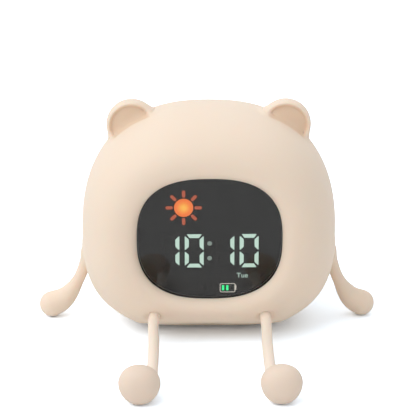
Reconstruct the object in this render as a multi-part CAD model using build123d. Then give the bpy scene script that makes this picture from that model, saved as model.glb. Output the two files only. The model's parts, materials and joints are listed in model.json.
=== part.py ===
from build123d import *
from math import cos, hypot, pi, radians, sin, tan
import os

# Bear-shaped alarm clock with a night light: a silicone skin over a two-part hard shell,
# a lit display behind a smoked lens, a button panel at the back, and four silicone limbs.
# Millimetres. +X is to the right of someone who looks at the display, -Y is the display
# side, +Z is up. The origin is the middle of the flat base.

# ---------------------------------------------------------------- body outline
BODY_HALF_WIDTH = 59.3
BODY_HEIGHT = 105.8
BODY_HALF_DEPTH = 36.0
WIDEST_HEIGHT = 46.6
BASE_OVERDRAW = 1.5          # how far the rounded bottom would pass below the flat base
TOP_SQUARENESS = 2.37
BOTTOM_SQUARENESS = 2.86
SIDE_ROUNDNESS = 2.1         # exponents of the front-to-back profile
TOP_ROUNDNESS = 2.1
BOTTOM_ROUNDNESS = 1.7
CREST_SHARE = 0.8            # how far the profile runs from body outline to window outline
RING_POINTS = 40
RING_STEP = 9                # degrees between rings along the profile

# ---------------------------------------------------------------- window and lip
WINDOW_HALF_WIDTH = 33.3
WINDOW_HALF_HEIGHT = 29.2
WINDOW_CENTRE_HEIGHT = 51.9
WINDOW_SQUARENESS = 2.6
LIP_ROLL_DEPTH = 4.4         # from the crest of the lip in to the lens

# ---------------------------------------------------------------- walls and clearances
SKIN_THICKNESS = 2.6
SHELL_THICKNESS = 2.0
SKIN_GAP = 0.2
PARTING_DEPTH = 4.0          # where the two shell halves meet, behind the middle
SLIP_FIT = 0.05              # radial clearance of screws, pins and glued-in pieces
LOOSE_FIT = 0.3              # clearance round moving and soft pieces

# ---------------------------------------------------------------- ears
EAR_RADIUS = 11.8
EAR_THICKNESS = 13.0
EAR_INSET = 23.6             # ear centre in from the widest point of the side
EAR_DROP = 9.8               # ear centre below the top of the body
EAR_SETBACK = 3.5
EAR_DISH_RADIUS = 34.0
EAR_DISH_DEPTH = 1.6

# ---------------------------------------------------------------- arms
ARM_ROOT_HEIGHT = 28.0
ARM_ROOT_RADIUS = 2.6
ARM_SETBACK = 4.0
ARM_STANDOFF = 0.8           # hinge centre outside the skin
HAND_RADIUS = 6.1
HAND_OUTREACH = 14.5         # hand centre out from the side
ARM_DROP = 16.0              # from the root down to the bend of the arm

# ---------------------------------------------------------------- legs
LEG_SPACING = 51.2
LEG_EXIT_SETBACK = 3.4       # behind the crest of the front
LEG_RADIUS = 2.45
LEG_STANDOFF = 1.2
LEG_POCKET_RADIUS = 4.2
FOOT_RADIUS = 8.9
FOOT_THICKNESS = 15.0
FOOT_FORWARD = 61.4          # foot centre in front of the crest
LEG_LEFT_SPLAY = 0.6         # degrees outward
LEG_RIGHT_SPLAY = 1.0
FOOT_LEFT_OFFSET = 5.0
FOOT_RIGHT_OFFSET = 3.7
LEG_JOIN_HEIGHT = 6.5        # where the leg meets the foot
LEG_RAISE = 15.0             # degrees above level that the leg swings up
PLUG_RADIUS = 2.5
PLUG_LENGTH = 7.5
PLUG_FLANGE_RADIUS = 3.6
PLUG_FLANGE_THICKNESS = 1.4

# ---------------------------------------------------------------- lens and display
LENS_OVERLAP = 2.0           # lens edge under the lip
LENS_THICKNESS = 1.9
LENS_DOME_RADIUS = 650.0
GASKET_THICKNESS = 0.3
SEAT_STEP = 0.5              # how far the display opening stays inside the window
FRAME_WALL = 4.0
FRAME_DEPTH = 5.0
BLOCK_DEPTH = 6.0
GUIDE_DEPTH = 4.5
BOARD_THICKNESS = 1.6
DISPLAY_BOARD_WIDTH = 68.0
DISPLAY_BOARD_HEIGHT = 59.0
BOARD_CORNER = 3.0
BOARD_HOLE_MARGIN = 3.4
LED_WIDTH = 1.2
LED_HEIGHT = 0.7

# ---------------------------------------------------------------- digits and symbols
DIGIT_HEIGHT = 16.2
DIGIT_WIDTH = 8.6
DIGIT_PITCH = 11.1
DIGIT_PAIR_GAP = 14.0        # centre to centre across the colon
DIGIT_CENTRE = -6.3          # below the window centre
SEGMENT_THICKNESS = 1.8
SEGMENT_GAP = 0.5               # between an upright stroke and the middle of the digit
SEGMENT_DROP = 1.1              # from the top of the digit down to its upright strokes
SEGMENT_TIP = 0.25              # flat that a mitre leaves at the end of an upright stroke
SEGMENT_MITRE = 1.5             # mitre along an upright stroke
LYING_INSET = 0.9               # end of a lying stroke in from the side of the digit
LYING_MITRE = 1.25
SHOWN_DIGITS = (1, 0, 1, 0)
COLON_DIAMETER = 2.1
COLON_PITCH = 7.2
SUN_X = -11.8
SUN_Z = 14.6
SUN_DIAMETER = 8.7
RAY_COUNT = 8
RAY_LENGTH = 3.3
RAY_WIDTH = 1.5
RAY_CIRCLE = 13.2
BATTERY_ICON_X = 8.25
BATTERY_ICON_Z = -24.5
BATTERY_ICON_WIDTH = 7.2
BATTERY_ICON_HEIGHT = 4.6
BATTERY_ICON_LINE = 0.45
BATTERY_BAR_WIDTH = 1.3
BATTERY_BAR_PITCH = 1.95
WEEKDAY_X = 15.0
WEEKDAY_Z = -18.3
WEEKDAY_WIDTH = 4.0
WEEKDAY_HEIGHT = 2.8

# ---------------------------------------------------------------- rear panel
COVER_THICKNESS = 2.0
COVER_LEDGE = 5.0            # ledge the cover rests on
BUTTON_DIAMETER = 8.0
BUTTON_PITCH = 10.2
BUTTON_ROW = 11.5            # above the panel centre
BUTTON_PROUD = 1.0
BUTTON_TRAVEL = 0.5
FLANGE_EXTRA = 0.6
FLANGE_THICKNESS = 1.0
STEM_DIAMETER = 3.0
SWITCH_SIZE = 6.0
SWITCH_HEIGHT = 3.5
PLUNGER_DIAMETER = 3.4
PLUNGER_LENGTH = 1.5
PLUNGER_SINK = 1.0
BUTTON_NAMES = ("light", "alarm", "set", "minus", "plus")
SLIDER_X = -20.0
SLIDER_Z = -6.0
SLIDER_TRAVEL = 2.0
SLIDER_WIDTH = 4.4
SLIDER_HEIGHT = 3.6
SPEAKER_DIAMETER = 24.0
SPEAKER_Z = -5.5
SPEAKER_DEPTH = 6.0
SPEAKER_GASKET = 0.5
MAGNET_DEPTH = 2.0
GRILLE_HOLE = 1.5
GRILLE_PITCH = 2.6
GRILLE_RADIUS = 9.0
PORT_Z = -20.0
PORT_WIDTH = 8.94
PORT_HEIGHT = 3.2
PORT_WALL = 0.35
PORT_DEPTH = 7.0
RESET_X = 20.0
RESET_Z = -6.0
RESET_DIAMETER = 1.2

# ---------------------------------------------------------------- main board and battery
BOARD_STANDOFF = 9.0         # main board behind the rear wall
MAIN_BOARD_WIDTH = 61.0
MAIN_BOARD_HEIGHT = 53.0
BATTERY_WIDTH = 44.0
BATTERY_HEIGHT = 34.0
BATTERY_DEPTH = 8.0
BATTERY_DROP = 5.5           # cell centre below the window centre
PAD_THICKNESS = 0.6

# ---------------------------------------------------------------- night light
LIGHT_BOARD_WIDTH = 40.0
LIGHT_BOARD_DEPTH = 22.0
LIGHT_ARM_WIDTH = 6.0
LIGHT_ARM_THICKNESS = 3.0
LIGHT_ARM_SPACING = 30.0
LIGHT_LED_WIDTH = 3.5
LIGHT_LED_DEPTH = 2.8
LIGHT_LED_HEIGHT = 1.9
LIGHT_LED_COUNT = 4
LIGHT_LED_SETBACK = 7.0      # from the front edge of the light board
TOUCH_PAD_DIAMETER = 22.0
TOUCH_PAD_THICKNESS = 0.3
TOUCH_FLAT_DROP = 1.2        # flat of the boss below the inner wall at the front of the pad
TOUCH_PAD_SETBACK = -11.0

# ---------------------------------------------------------------- fasteners
BOSS_RADIUS = 2.6
SCREW_RADIUS = 0.95
SCREW_HEAD_RADIUS = 1.8
SCREW_HEAD_HEIGHT = 1.2
SCREW_LENGTH = 5.0
SHELL_BOSS_RADIUS = 3.4
SHELL_SCREW_RADIUS = 1.3
SHELL_HEAD_RADIUS = 2.4
SHELL_HEAD_HEIGHT = 1.8
SHELL_SCREW_LENGTH = 14.0
SHELL_HEAD_SEAT = 6.0        # under the screw head, behind the parting plane
SHELL_BOSS_GAP = 0.8         # between a boss and the edge of the display board
SHELL_BOSS_RISE = 16.0       # above and below the window centre
COVER_SCREW_ANGLE = 35.0

# ---------------------------------------------------------------- leads
LEAD_RADIUS = 0.6
CONNECTOR_WIDTH = 6.0
CONNECTOR_DEPTH = 4.0
CONNECTOR_HEIGHT = 4.0
BEND_SHARE = 0.45

# ---------------------------------------------------------------- planes along Y
front_lip = -(BODY_HALF_DEPTH - LIP_ROLL_DEPTH)
rear_lip = -front_lip
shell_front = front_lip + SKIN_GAP
shell_rear = -shell_front
lens_back = shell_front + SKIN_GAP / 2 + LENS_THICKNESS
seat_plane = lens_back + GASKET_THICKNESS
frame_back = shell_front + FRAME_DEPTH
block_front = lens_back + SKIN_GAP
display_board_front = block_front + BLOCK_DEPTH
display_board_back = display_board_front + BOARD_THICKNESS
rear_wall_inside = shell_rear - SHELL_THICKNESS
cover_outside = shell_rear + COVER_THICKNESS
main_board_back = rear_wall_inside - BOARD_STANDOFF
main_board_front = main_board_back - BOARD_THICKNESS
battery_back = main_board_front - PAD_THICKNESS
battery_front = battery_back - BATTERY_DEPTH

# ---------------------------------------------------------------- places across and up
ear_x = BODY_HALF_WIDTH - EAR_INSET
ear_z = BODY_HEIGHT - EAR_DROP
hand_x = BODY_HALF_WIDTH + HAND_OUTREACH
leg_exit_y = LEG_EXIT_SETBACK - BODY_HALF_DEPTH
foot_y = -BODY_HALF_DEPTH - FOOT_FORWARD
display_board_top = WINDOW_CENTRE_HEIGHT + DISPLAY_BOARD_HEIGHT / 2
light_board_base = display_board_top + LOOSE_FIT + LIGHT_ARM_THICKNESS
light_board_top = light_board_base + BOARD_THICKNESS
light_board_start = frame_back + 1.0
light_board_end = light_board_start + LIGHT_BOARD_DEPTH
shell_inside = SKIN_THICKNESS + SKIN_GAP + SHELL_THICKNESS
battery_middle = WINDOW_CENTRE_HEIGHT - BATTERY_DROP


def mix(first, second, share):
    return first + (second - first) * share


def solid_of(shape):
    """The one solid of a boolean result."""
    solids = shape.solids()
    return max(solids, key=lambda solid: solid.volume)


def box(x_range, y_range, z_range):
    size = [high - low for low, high in (x_range, y_range, z_range)]
    middle = [(high + low) / 2 for low, high in (x_range, y_range, z_range)]
    return Pos(*middle) * Box(*size)


def rod(start, end, radius):
    """A cylinder from one point to another."""
    start = Vector(*start)
    axis = Vector(*end) - start
    place = Plane(origin=start, z_dir=axis.normalized())
    return place * Cylinder(radius, axis.length, align=(Align.CENTER, Align.CENTER, Align.MIN))


def rod_y(x, z, y_start, y_end, radius):
    return rod((x, y_start, z), (x, y_end, z), radius)


def plate(outline, y_start, y_end):
    """A flat outline drawn in X and Z, given thickness along Y."""
    return extrude(outline, amount=y_end - y_start, dir=(0, 1, 0)).moved(Location((0, y_start, 0)))


def sketch_plane(x=0, z=0):
    """Sketch plane facing the display side with its own x along +X and y along +Z."""
    return Plane(origin=(x, 0, z), x_dir=(1, 0, 0), z_dir=(0, -1, 0))


# ================================================================ body surfaces
def ring_points(half_width, top, bottom, widest, n_top, n_bottom, y):
    """A closed superellipse with its own top and bottom, as points at even angles."""
    points = []
    for step in range(RING_POINTS):
        angle = 2 * pi * step / RING_POINTS - pi / 2
        across, up = cos(angle), sin(angle)
        exponent, reach = (n_top, top - widest) if up >= 0 else (n_bottom, widest - bottom)
        radius = (abs(across / half_width) ** exponent + abs(up / reach) ** exponent) ** (-1 / exponent)
        points.append(Vector(radius * across, y, widest + radius * up))
    return points


def closed_ring(points):
    return Wire([Edge.make_spline(points, periodic=True)])


def profile_share(y, half_depth, roundness):
    """How far the outline has drawn in toward the window at this depth."""
    reach = min(abs(y) / half_depth, 1)
    return CREST_SHARE * (1 - (1 - reach ** roundness) ** (1 / roundness))


def body_section(y, inset, shares=None):
    """Half width, top, bottom, widest height and squareness of the body at one depth."""
    half_depth = BODY_HALF_DEPTH - inset
    if shares is None:
        roundness = (SIDE_ROUNDNESS, TOP_ROUNDNESS, BOTTOM_ROUNDNESS)
        shares = [profile_share(y, half_depth, value) for value in roundness]
    side, above, below = shares
    half_width = mix(BODY_HALF_WIDTH - inset, WINDOW_HALF_WIDTH, side)
    top = mix(BODY_HEIGHT - inset, WINDOW_CENTRE_HEIGHT + WINDOW_HALF_HEIGHT, above)
    bottom = mix(inset - BASE_OVERDRAW, WINDOW_CENTRE_HEIGHT - WINDOW_HALF_HEIGHT, below)
    widest = mix(WIDEST_HEIGHT, WINDOW_CENTRE_HEIGHT, side)
    n_top = mix(TOP_SQUARENESS, WINDOW_SQUARENESS, above)
    n_bottom = mix(BOTTOM_SQUARENESS, WINDOW_SQUARENESS, below)
    return half_width, top, bottom, widest, n_top, n_bottom


def upper_reach(x, y, inset):
    """Height of the top of the body form, drawn in by inset, at this x and y."""
    half_width, top, _, widest, exponent, _ = body_section(y, inset)
    return widest + (top - widest) * (1 - abs(x / half_width) ** exponent) ** (1 / exponent)


def underside_point(x, y):
    """The point of the skin's underside at this x and y, with its outward normal."""
    def height(at_x, at_y):
        half_width, _, bottom, widest, _, exponent = body_section(at_y, 0)
        return widest - (widest - bottom) * (1 - abs(at_x / half_width) ** exponent) ** (1 / exponent)

    step = 0.05
    slope_x = (height(x + step, y) - height(x - step, y)) / (2 * step)
    slope_y = (height(x, y + step) - height(x, y - step)) / (2 * step)
    return Vector(x, y, height(x, y)), Vector(slope_x, slope_y, -1).normalized()


def side_reach(y, z):
    """Half width of the skin at this depth and height, below its widest height."""
    half_width, _, bottom, widest, _, exponent = body_section(y, 0)
    return half_width * (1 - abs((z - widest) / (widest - bottom)) ** exponent) ** (1 / exponent)


def body_form(inset, limit):
    """Closed body form, drawn in by inset, with flat ends at plus and minus limit."""
    half_depth = BODY_HALF_DEPTH - inset
    depths = [half_depth * sin(radians(angle)) for angle in range(0, 90, RING_STEP)]
    depths = [depth for depth in depths if depth < limit - 0.4] + [limit]
    ordered = [-depth for depth in reversed(depths)] + depths[1:]
    rings = [closed_ring(ring_points(*body_section(y, inset), y)) for y in ordered]
    return Solid.make_loft(rings)


def skin_form():
    """Outside of the skin, ending in a lip that rolls in round the window and the rear panel."""
    depths = [BODY_HALF_DEPTH * sin(radians(angle)) for angle in range(0, 91, RING_STEP)]
    stations = [(depth, None) for depth in depths]
    for angle in (30, 60, 90):
        depth = BODY_HALF_DEPTH - LIP_ROLL_DEPTH * (1 - cos(radians(angle)))
        share = mix(CREST_SHARE, 1, sin(radians(angle)))
        stations.append((depth, (share, share, share)))
    front = [(-depth, shares) for depth, shares in reversed(stations)]
    rings = [closed_ring(ring_points(*body_section(y, 0, shares), y)) for y, shares in front + stations[1:]]
    return Solid.make_loft(rings)


def window_outline(grow):
    """The window's outline, larger all round by grow."""
    top = WINDOW_CENTRE_HEIGHT + WINDOW_HALF_HEIGHT + grow
    bottom = WINDOW_CENTRE_HEIGHT - WINDOW_HALF_HEIGHT - grow
    half_width = WINDOW_HALF_WIDTH + grow
    corner = WINDOW_SQUARENESS
    points = ring_points(half_width, top, bottom, WINDOW_CENTRE_HEIGHT, corner, corner, 0)
    return Face(closed_ring(points))


# ================================================================ limb geometry
def arm_hinge(side):
    x = side_reach(ARM_SETBACK, ARM_ROOT_HEIGHT) + ARM_STANDOFF
    return Vector(side * x, ARM_SETBACK, ARM_ROOT_HEIGHT)


def leg_hinge(side):
    point, normal = underside_point(side * LEG_SPACING / 2, leg_exit_y)
    return point + normal * LEG_STANDOFF, normal


def arm_path(side):
    """Stations of an arm: centre, radius, from the shoulder down and out to the hand."""
    root = arm_hinge(side)
    out = hand_x - abs(root.X)
    bend = ARM_ROOT_HEIGHT - ARM_DROP
    shares = ((0.09, 0.32, 2.75), (0.27, 0.70, 3.2), (0.47, 1.0, 4.5))
    stations = []
    for across, down, radius in shares:
        stations.append((abs(root.X) + out * across, mix(ARM_ROOT_HEIGHT, bend, down), radius))
    stations.append((mix(abs(root.X), hand_x, 0.73), mix(bend, HAND_RADIUS, 0.66), HAND_RADIUS * 0.92))
    return root, stations


def arm(side):
    """One silicone arm with its hand, a single soft moulding."""
    root, stations = arm_path(side)
    start = Vector(abs(root.X), 0, root.Z)
    centres = [start] + [Vector(x, 0, z) for x, z, _ in stations] + [Vector(hand_x, 0, HAND_RADIUS)]
    radii = [ARM_ROOT_RADIUS] + [radius for _, _, radius in stations] + [HAND_RADIUS]
    rings = []
    for index, (centre, radius) in enumerate(zip(centres, radii)):
        before = centres[max(index - 1, 0)]
        after = centres[min(index + 1, len(centres) - 1)]
        heading = (after - before).normalized()
        rings.append((centre, heading, radius))
    rings = dome(rings[0], -1) + rings + dome(rings[-1], 1)
    wires = [Wire([Edge.make_circle(radius, Plane(origin=centre, x_dir=(0, 1, 0), z_dir=heading))])
             for centre, heading, radius in rings]
    shape = Solid.make_loft(wires)
    if side < 0:
        shape = shape.mirror(Plane.YZ)
    return Pos(0, root.Y, 0) * shape


def dome(ring, way):
    """Shrinking rings that close a limb with a round end."""
    centre, heading, radius = ring
    rings = []
    for angle in (25, 50, 70, 84):
        shift = heading * (way * radius * sin(radians(angle)))
        rings.append((centre + shift, heading, radius * cos(radians(angle))))
    return rings if way > 0 else rings[::-1]


def leg(side, splay, foot_offset):
    """One silicone leg with its foot, a single soft moulding."""
    hinge, _ = leg_hinge(side)
    run = hinge.Y - foot_y
    join = (hinge.X + side * run * tan(radians(splay)), foot_y + FOOT_THICKNESS / 4, LEG_JOIN_HEIGHT)
    foot_x = join[0] + side * foot_offset
    foot = scale(Sphere(1), by=(FOOT_RADIUS, FOOT_THICKNESS / 2, FOOT_RADIUS))
    foot = Pos(foot_x, foot_y, FOOT_RADIUS) * foot
    ball = Pos(*hinge) * Sphere(LEG_RADIUS)
    return solid_of(ball + rod(tuple(hinge), join, LEG_RADIUS) + foot)


def leg_plug(side):
    """The part of a leg that is held in the skin and shell, with its retaining flange."""
    hinge, normal = leg_hinge(side)
    tail = hinge - normal * (LEG_RADIUS + LOOSE_FIT / 2)
    end = tail - normal * PLUG_LENGTH
    flange = end + normal * PLUG_FLANGE_THICKNESS
    shape = rod(tuple(hinge), tuple(end), PLUG_RADIUS)
    shape += rod(tuple(flange), tuple(end), PLUG_FLANGE_RADIUS)
    shape -= Pos(*hinge) * Sphere(LEG_RADIUS + LOOSE_FIT)
    raised = hinge + Vector(0, -cos(radians(LEG_RAISE)), sin(radians(LEG_RAISE))) * PLUG_LENGTH
    return solid_of(shape - rod(tuple(hinge), tuple(raised), LEG_RADIUS + LOOSE_FIT))


def limb_pockets():
    """Hollows in the skin that the limbs swing in, and the holes for the leg plugs."""
    tools = []
    for side in (-1, 1):
        shoulder = arm_hinge(side)
        _, stations = arm_path(side)
        below = (side * stations[0][0], shoulder.Y, stations[0][1])
        tools.append(Pos(*shoulder) * Sphere(ARM_ROOT_RADIUS + LOOSE_FIT))
        tools.append(rod(tuple(shoulder), below, ARM_ROOT_RADIUS + LOOSE_FIT))
        hinge, normal = leg_hinge(side)
        tools.append(Pos(*hinge) * Sphere(LEG_POCKET_RADIUS))
        tools.append(plug_hole(hinge, normal, SLIP_FIT))
    return tools


def plug_hole(hinge, normal, clearance):
    inner = hinge - normal * (PLUG_LENGTH * 2)
    return rod(tuple(hinge), tuple(inner), PLUG_RADIUS + clearance)


# ================================================================ skin and shells
def ear(side):
    """One ear: a rounded disc with a shallow dish in its front."""
    disc = Cylinder(EAR_RADIUS, EAR_THICKNESS, rotation=(90, 0, 0))
    disc = fillet(disc.edges().filter_by(GeomType.CIRCLE), EAR_THICKNESS * 0.42)
    front = -EAR_THICKNESS / 2
    dish = Pos(0, front + EAR_DISH_DEPTH - EAR_DISH_RADIUS, 0) * Sphere(EAR_DISH_RADIUS)
    return Pos(side * ear_x, EAR_SETBACK, ear_z) * (disc - dish)


def silicone_skin():
    """Soft outer cover with its two ears, open at the display and at the rear panel."""
    shape = skin_form()
    for side in (-1, 1):
        shape = shape + ear(side)
    shape = shape - body_form(SKIN_THICKNESS, rear_lip)
    for tool in limb_pockets():
        shape = shape - tool
    below = box((-90, 90), (-90, 90), (-20, 0))
    return solid_of(shape - below)


def shell_bosses():
    x = DISPLAY_BOARD_WIDTH / 2 + SHELL_BOSS_GAP + SHELL_BOSS_RADIUS
    for rise in (-SHELL_BOSS_RISE, SHELL_BOSS_RISE):
        for side in (-1, 1):
            yield side * x, WINDOW_CENTRE_HEIGHT + rise


def shell_blank():
    """Both shell halves as one closed box, still without openings."""
    return body_form(SKIN_THICKNESS + SKIN_GAP, shell_rear), body_form(shell_inside, rear_wall_inside)


def leg_plug_room(shape):
    """Opens the shell for the leg plugs."""
    for side in (-1, 1):
        hinge, normal = leg_hinge(side)
        shape = shape - plug_hole(hinge, normal, LOOSE_FIT)
    return shape


def front_shell(outside, inside):
    """Front half of the hard shell with the lens seat, display bosses and light-board arms."""
    half = box((-90, 90), (-90, PARTING_DEPTH), (-20, 140))
    shape = (outside - inside) & half
    shape += plate(window_outline(FRAME_WALL), shell_front, frame_back)
    shape += touch_boss() & inside
    for x, z in shell_bosses():
        shape += rod_y(x, z, shell_front + SHELL_THICKNESS / 2, PARTING_DEPTH, SHELL_BOSS_RADIUS)
    for x, z in display_bosses():
        shape += rod_y(x, z, frame_back - 1, display_board_front, BOSS_RADIUS)
    for x in (-LIGHT_ARM_SPACING / 2, LIGHT_ARM_SPACING / 2):
        shape += light_arm(x)
    shape -= plate(window_outline(LENS_OVERLAP + SKIN_GAP), shell_front - 1, seat_plane)
    shape -= plate(window_outline(-SEAT_STEP), seat_plane - 1, frame_back + 1)
    for x, z in shell_bosses():
        shape -= rod_y(x, z, PARTING_DEPTH - SHELL_SCREW_LENGTH, PARTING_DEPTH + 1,
                       SHELL_SCREW_RADIUS + SLIP_FIT)
    for x, z in display_bosses():
        shape -= rod_y(x, z, frame_back - 0.5, display_board_front + 1, SCREW_RADIUS + SLIP_FIT)
    for x, y in light_screws_at():
        shape -= rod((x, y, light_board_base - SCREW_LENGTH), (x, y, light_board_top),
                     SCREW_RADIUS + SLIP_FIT)
    return solid_of(leg_plug_room(shape))


def rear_shell(outside, inside):
    """Rear half of the hard shell with the ledge for the cover and the main-board bosses."""
    half = box((-90, 90), (PARTING_DEPTH, 90), (-20, 140))
    shape = (outside - inside) & half
    for x, z in shell_bosses():
        shape += rod_y(x, z, PARTING_DEPTH, shell_rear - SHELL_THICKNESS / 2, SHELL_BOSS_RADIUS)
    for x, z in main_board_corners():
        shape += rod_y(x, z, main_board_back, shell_rear - SHELL_THICKNESS / 2, BOSS_RADIUS)
    shape -= plate(window_outline(-COVER_LEDGE), rear_wall_inside - 1, shell_rear + 1)
    for x, z in shell_bosses():
        shape -= rod_y(x, z, PARTING_DEPTH - 1, shell_rear + 1, SHELL_SCREW_RADIUS + SLIP_FIT)
        shape -= rod_y(x, z, PARTING_DEPTH + SHELL_HEAD_SEAT, shell_rear + 1,
                       SHELL_HEAD_RADIUS + SLIP_FIT)
    for x, z in main_board_corners():
        shape -= rod_y(x, z, main_board_back - 1, main_board_back + SCREW_LENGTH, SCREW_RADIUS + SLIP_FIT)
    for x, z in cover_screws_at():
        shape -= rod_y(x, z, rear_wall_inside - 1, shell_rear + 1, SCREW_RADIUS + SLIP_FIT)
    return solid_of(leg_plug_room(shape))


def shell_screws():
    """Four screws that hold the shell halves together."""
    screws = []
    for x, z in shell_bosses():
        seat = PARTING_DEPTH + SHELL_HEAD_SEAT
        head = rod_y(x, z, seat, seat + SHELL_HEAD_HEIGHT, SHELL_HEAD_RADIUS)
        shank = rod_y(x, z, PARTING_DEPTH - SHELL_SCREW_LENGTH + 1, seat, SHELL_SCREW_RADIUS)
        screws.append(cross_slot(head + shank, x, seat + SHELL_HEAD_HEIGHT, z, SHELL_HEAD_RADIUS))
    return screws


def cross_slot(screw, x, head_top, z, head_radius):
    """Cuts a cross recess in the head of a screw that points along Y."""
    arm_length = head_radius * 0.6
    arm_width = head_radius * 0.14
    depth = (head_top - 0.6, head_top + 1)
    wide = box((x - arm_length, x + arm_length), depth, (z - arm_width, z + arm_width))
    tall = box((x - arm_width, x + arm_width), depth, (z - arm_length, z + arm_length))
    return solid_of(screw - wide - tall)


# ================================================================ lens and display
def display_lens():
    """Smoked lens with a slightly domed face."""
    edge = shell_front + SKIN_GAP / 2
    rim = WINDOW_HALF_WIDTH + LENS_OVERLAP
    sagitta = LENS_DOME_RADIUS - (LENS_DOME_RADIUS ** 2 - rim ** 2) ** 0.5
    blank = plate(window_outline(LENS_OVERLAP), edge - 2 * sagitta, lens_back)
    ball = Pos(0, edge - sagitta + LENS_DOME_RADIUS, WINDOW_CENTRE_HEIGHT) * Sphere(LENS_DOME_RADIUS)
    return solid_of(blank & ball)


def lens_gasket():
    """Adhesive foam ring between the lens and its seat."""
    ring = plate(window_outline(LENS_OVERLAP - SKIN_GAP), lens_back, seat_plane)
    return solid_of(ring - plate(window_outline(0), lens_back - 1, seat_plane + 1))


def horizontal_segment(length, tilt_top, tilt_bottom):
    """Outline of a lying segment; a tilt of 1 mitres that edge inward at both ends."""
    half, rise = length / 2, SEGMENT_THICKNESS / 2
    if tilt_top and tilt_bottom:
        return [(-half, 0), (-half + rise, rise), (half - rise, rise),
                (half, 0), (half - rise, -rise), (-half + rise, -rise)]
    top = LYING_MITRE if tilt_top else 0
    bottom = LYING_MITRE if tilt_bottom else 0
    return [(-half + top, rise), (half - top, rise), (half - bottom, -rise), (-half + bottom, -rise)]


def lifted(points, up):
    return [(x, z + up) for x, z in points]


def digit_segments():
    """The seven segments of a digit, named a to g, as corner points round its centre."""
    high = DIGIT_HEIGHT / 2
    wide = DIGIT_WIDTH / 2
    lying = DIGIT_WIDTH - 2 * LYING_INSET
    rise = high - SEGMENT_THICKNESS / 2
    segments = {
        "a": lifted(horizontal_segment(lying, False, True), rise),
        "d": lifted(horizontal_segment(lying, True, False), -rise),
        "g": horizontal_segment(lying, True, True),
    }
    top = high - SEGMENT_DROP
    inner = wide - SEGMENT_THICKNESS
    upright = [(wide, SEGMENT_GAP), (wide, top), (wide - SEGMENT_TIP, top), (inner, top - SEGMENT_MITRE),
               (inner, SEGMENT_GAP + SEGMENT_MITRE), (wide - SEGMENT_TIP, SEGMENT_GAP)]
    segments["b"] = upright
    segments["c"] = [(x, -z) for x, z in upright]
    segments["f"] = [(-x, z) for x, z in upright]
    segments["e"] = [(-x, -z) for x, z in upright]
    return segments


LIT_SEGMENTS = {0: "abcdef", 1: "bc"}


def light_cell(outline, depth, clearance=0.0):
    """A light guide of the reflector block, or the cell for it when given a clearance."""
    face = offset(outline, clearance) if clearance else outline
    return plate(face, block_front, block_front + depth)


def polygon(points, x, z):
    return sketch_plane(x, z) * Polygon(*points, align=None)


def digit_outlines():
    """Lit and dark segment outlines of the four digits."""
    half_gap = DIGIT_PAIR_GAP / 2
    centres = (-half_gap - DIGIT_PITCH, -half_gap, half_gap, half_gap + DIGIT_PITCH)
    height = WINDOW_CENTRE_HEIGHT + DIGIT_CENTRE
    lit, dark = [], []
    for centre, digit in zip(centres, SHOWN_DIGITS):
        for name, points in digit_segments().items():
            outline = polygon(points, centre, height)
            (lit if name in LIT_SEGMENTS[digit] else dark).append(outline)
    return lit, dark


def colon_outlines():
    height = WINDOW_CENTRE_HEIGHT + DIGIT_CENTRE
    heights = (height - COLON_PITCH / 2, height + COLON_PITCH / 2)
    return [sketch_plane(0, z) * Circle(COLON_DIAMETER / 2) for z in heights]


def sun_outlines():
    """The sun symbol: its disc, and its rays on a circle round it."""
    plane = sketch_plane(SUN_X, WINDOW_CENTRE_HEIGHT + SUN_Z)
    rays = []
    for index in range(RAY_COUNT):
        turn = Rot(0, 0, 360 * index / RAY_COUNT)
        bar = RectangleRounded(RAY_LENGTH, RAY_WIDTH, RAY_WIDTH * 0.45)
        rays.append(plane * (turn * (Pos(RAY_CIRCLE / 2, 0) * bar)))
    return [plane * Circle(SUN_DIAMETER / 2)], rays


def battery_outlines():
    """The battery symbol: its outline with the contact nub, and three charge bars."""
    plane = sketch_plane(BATTERY_ICON_X, WINDOW_CENTRE_HEIGHT + BATTERY_ICON_Z)
    inner_width = BATTERY_ICON_WIDTH - 2 * BATTERY_ICON_LINE
    inner_height = BATTERY_ICON_HEIGHT - 2 * BATTERY_ICON_LINE
    body = RectangleRounded(BATTERY_ICON_WIDTH, BATTERY_ICON_HEIGHT, 0.8)
    nub = Pos(BATTERY_ICON_WIDTH / 2, 0) * RectangleRounded(0.9, BATTERY_ICON_HEIGHT * 0.5, 0.4)
    frame = body + nub - RectangleRounded(inner_width, inner_height, 0.4)
    bars = []
    for index in (-1, 0, 1):
        bar = RectangleRounded(BATTERY_BAR_WIDTH, inner_height - 1.0, 0.3)
        bars.append(plane * (Pos(index * BATTERY_BAR_PITCH - 0.1, 0) * bar))
    return plane * frame, bars


def weekday_outline():
    height = WINDOW_CENTRE_HEIGHT + WEEKDAY_Z
    return sketch_plane(WEEKDAY_X, height) * RectangleRounded(WEEKDAY_WIDTH, WEEKDAY_HEIGHT, 0.4)


def display_bosses():
    return board_corners(DISPLAY_BOARD_WIDTH, DISPLAY_BOARD_HEIGHT)


def main_board_corners():
    return board_corners(MAIN_BOARD_WIDTH, MAIN_BOARD_HEIGHT)


def board_corners(width, height):
    """Screw positions at the corners of an upright board."""
    x = width / 2 - BOARD_HOLE_MARGIN
    z = height / 2 - BOARD_HOLE_MARGIN
    return [(sx * x, WINDOW_CENTRE_HEIGHT + sz * z) for sx in (-1, 1) for sz in (-1, 1)]


def upright_board(width, height, y_start, holes):
    board = sketch_plane(0, WINDOW_CENTRE_HEIGHT) * RectangleRounded(width, height, BOARD_CORNER)
    shape = plate(board, y_start, y_start + BOARD_THICKNESS)
    for x, z in holes:
        shape -= rod_y(x, z, y_start - 1, y_start + BOARD_THICKNESS + 1, SCREW_RADIUS + SLIP_FIT)
    return solid_of(shape)


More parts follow.
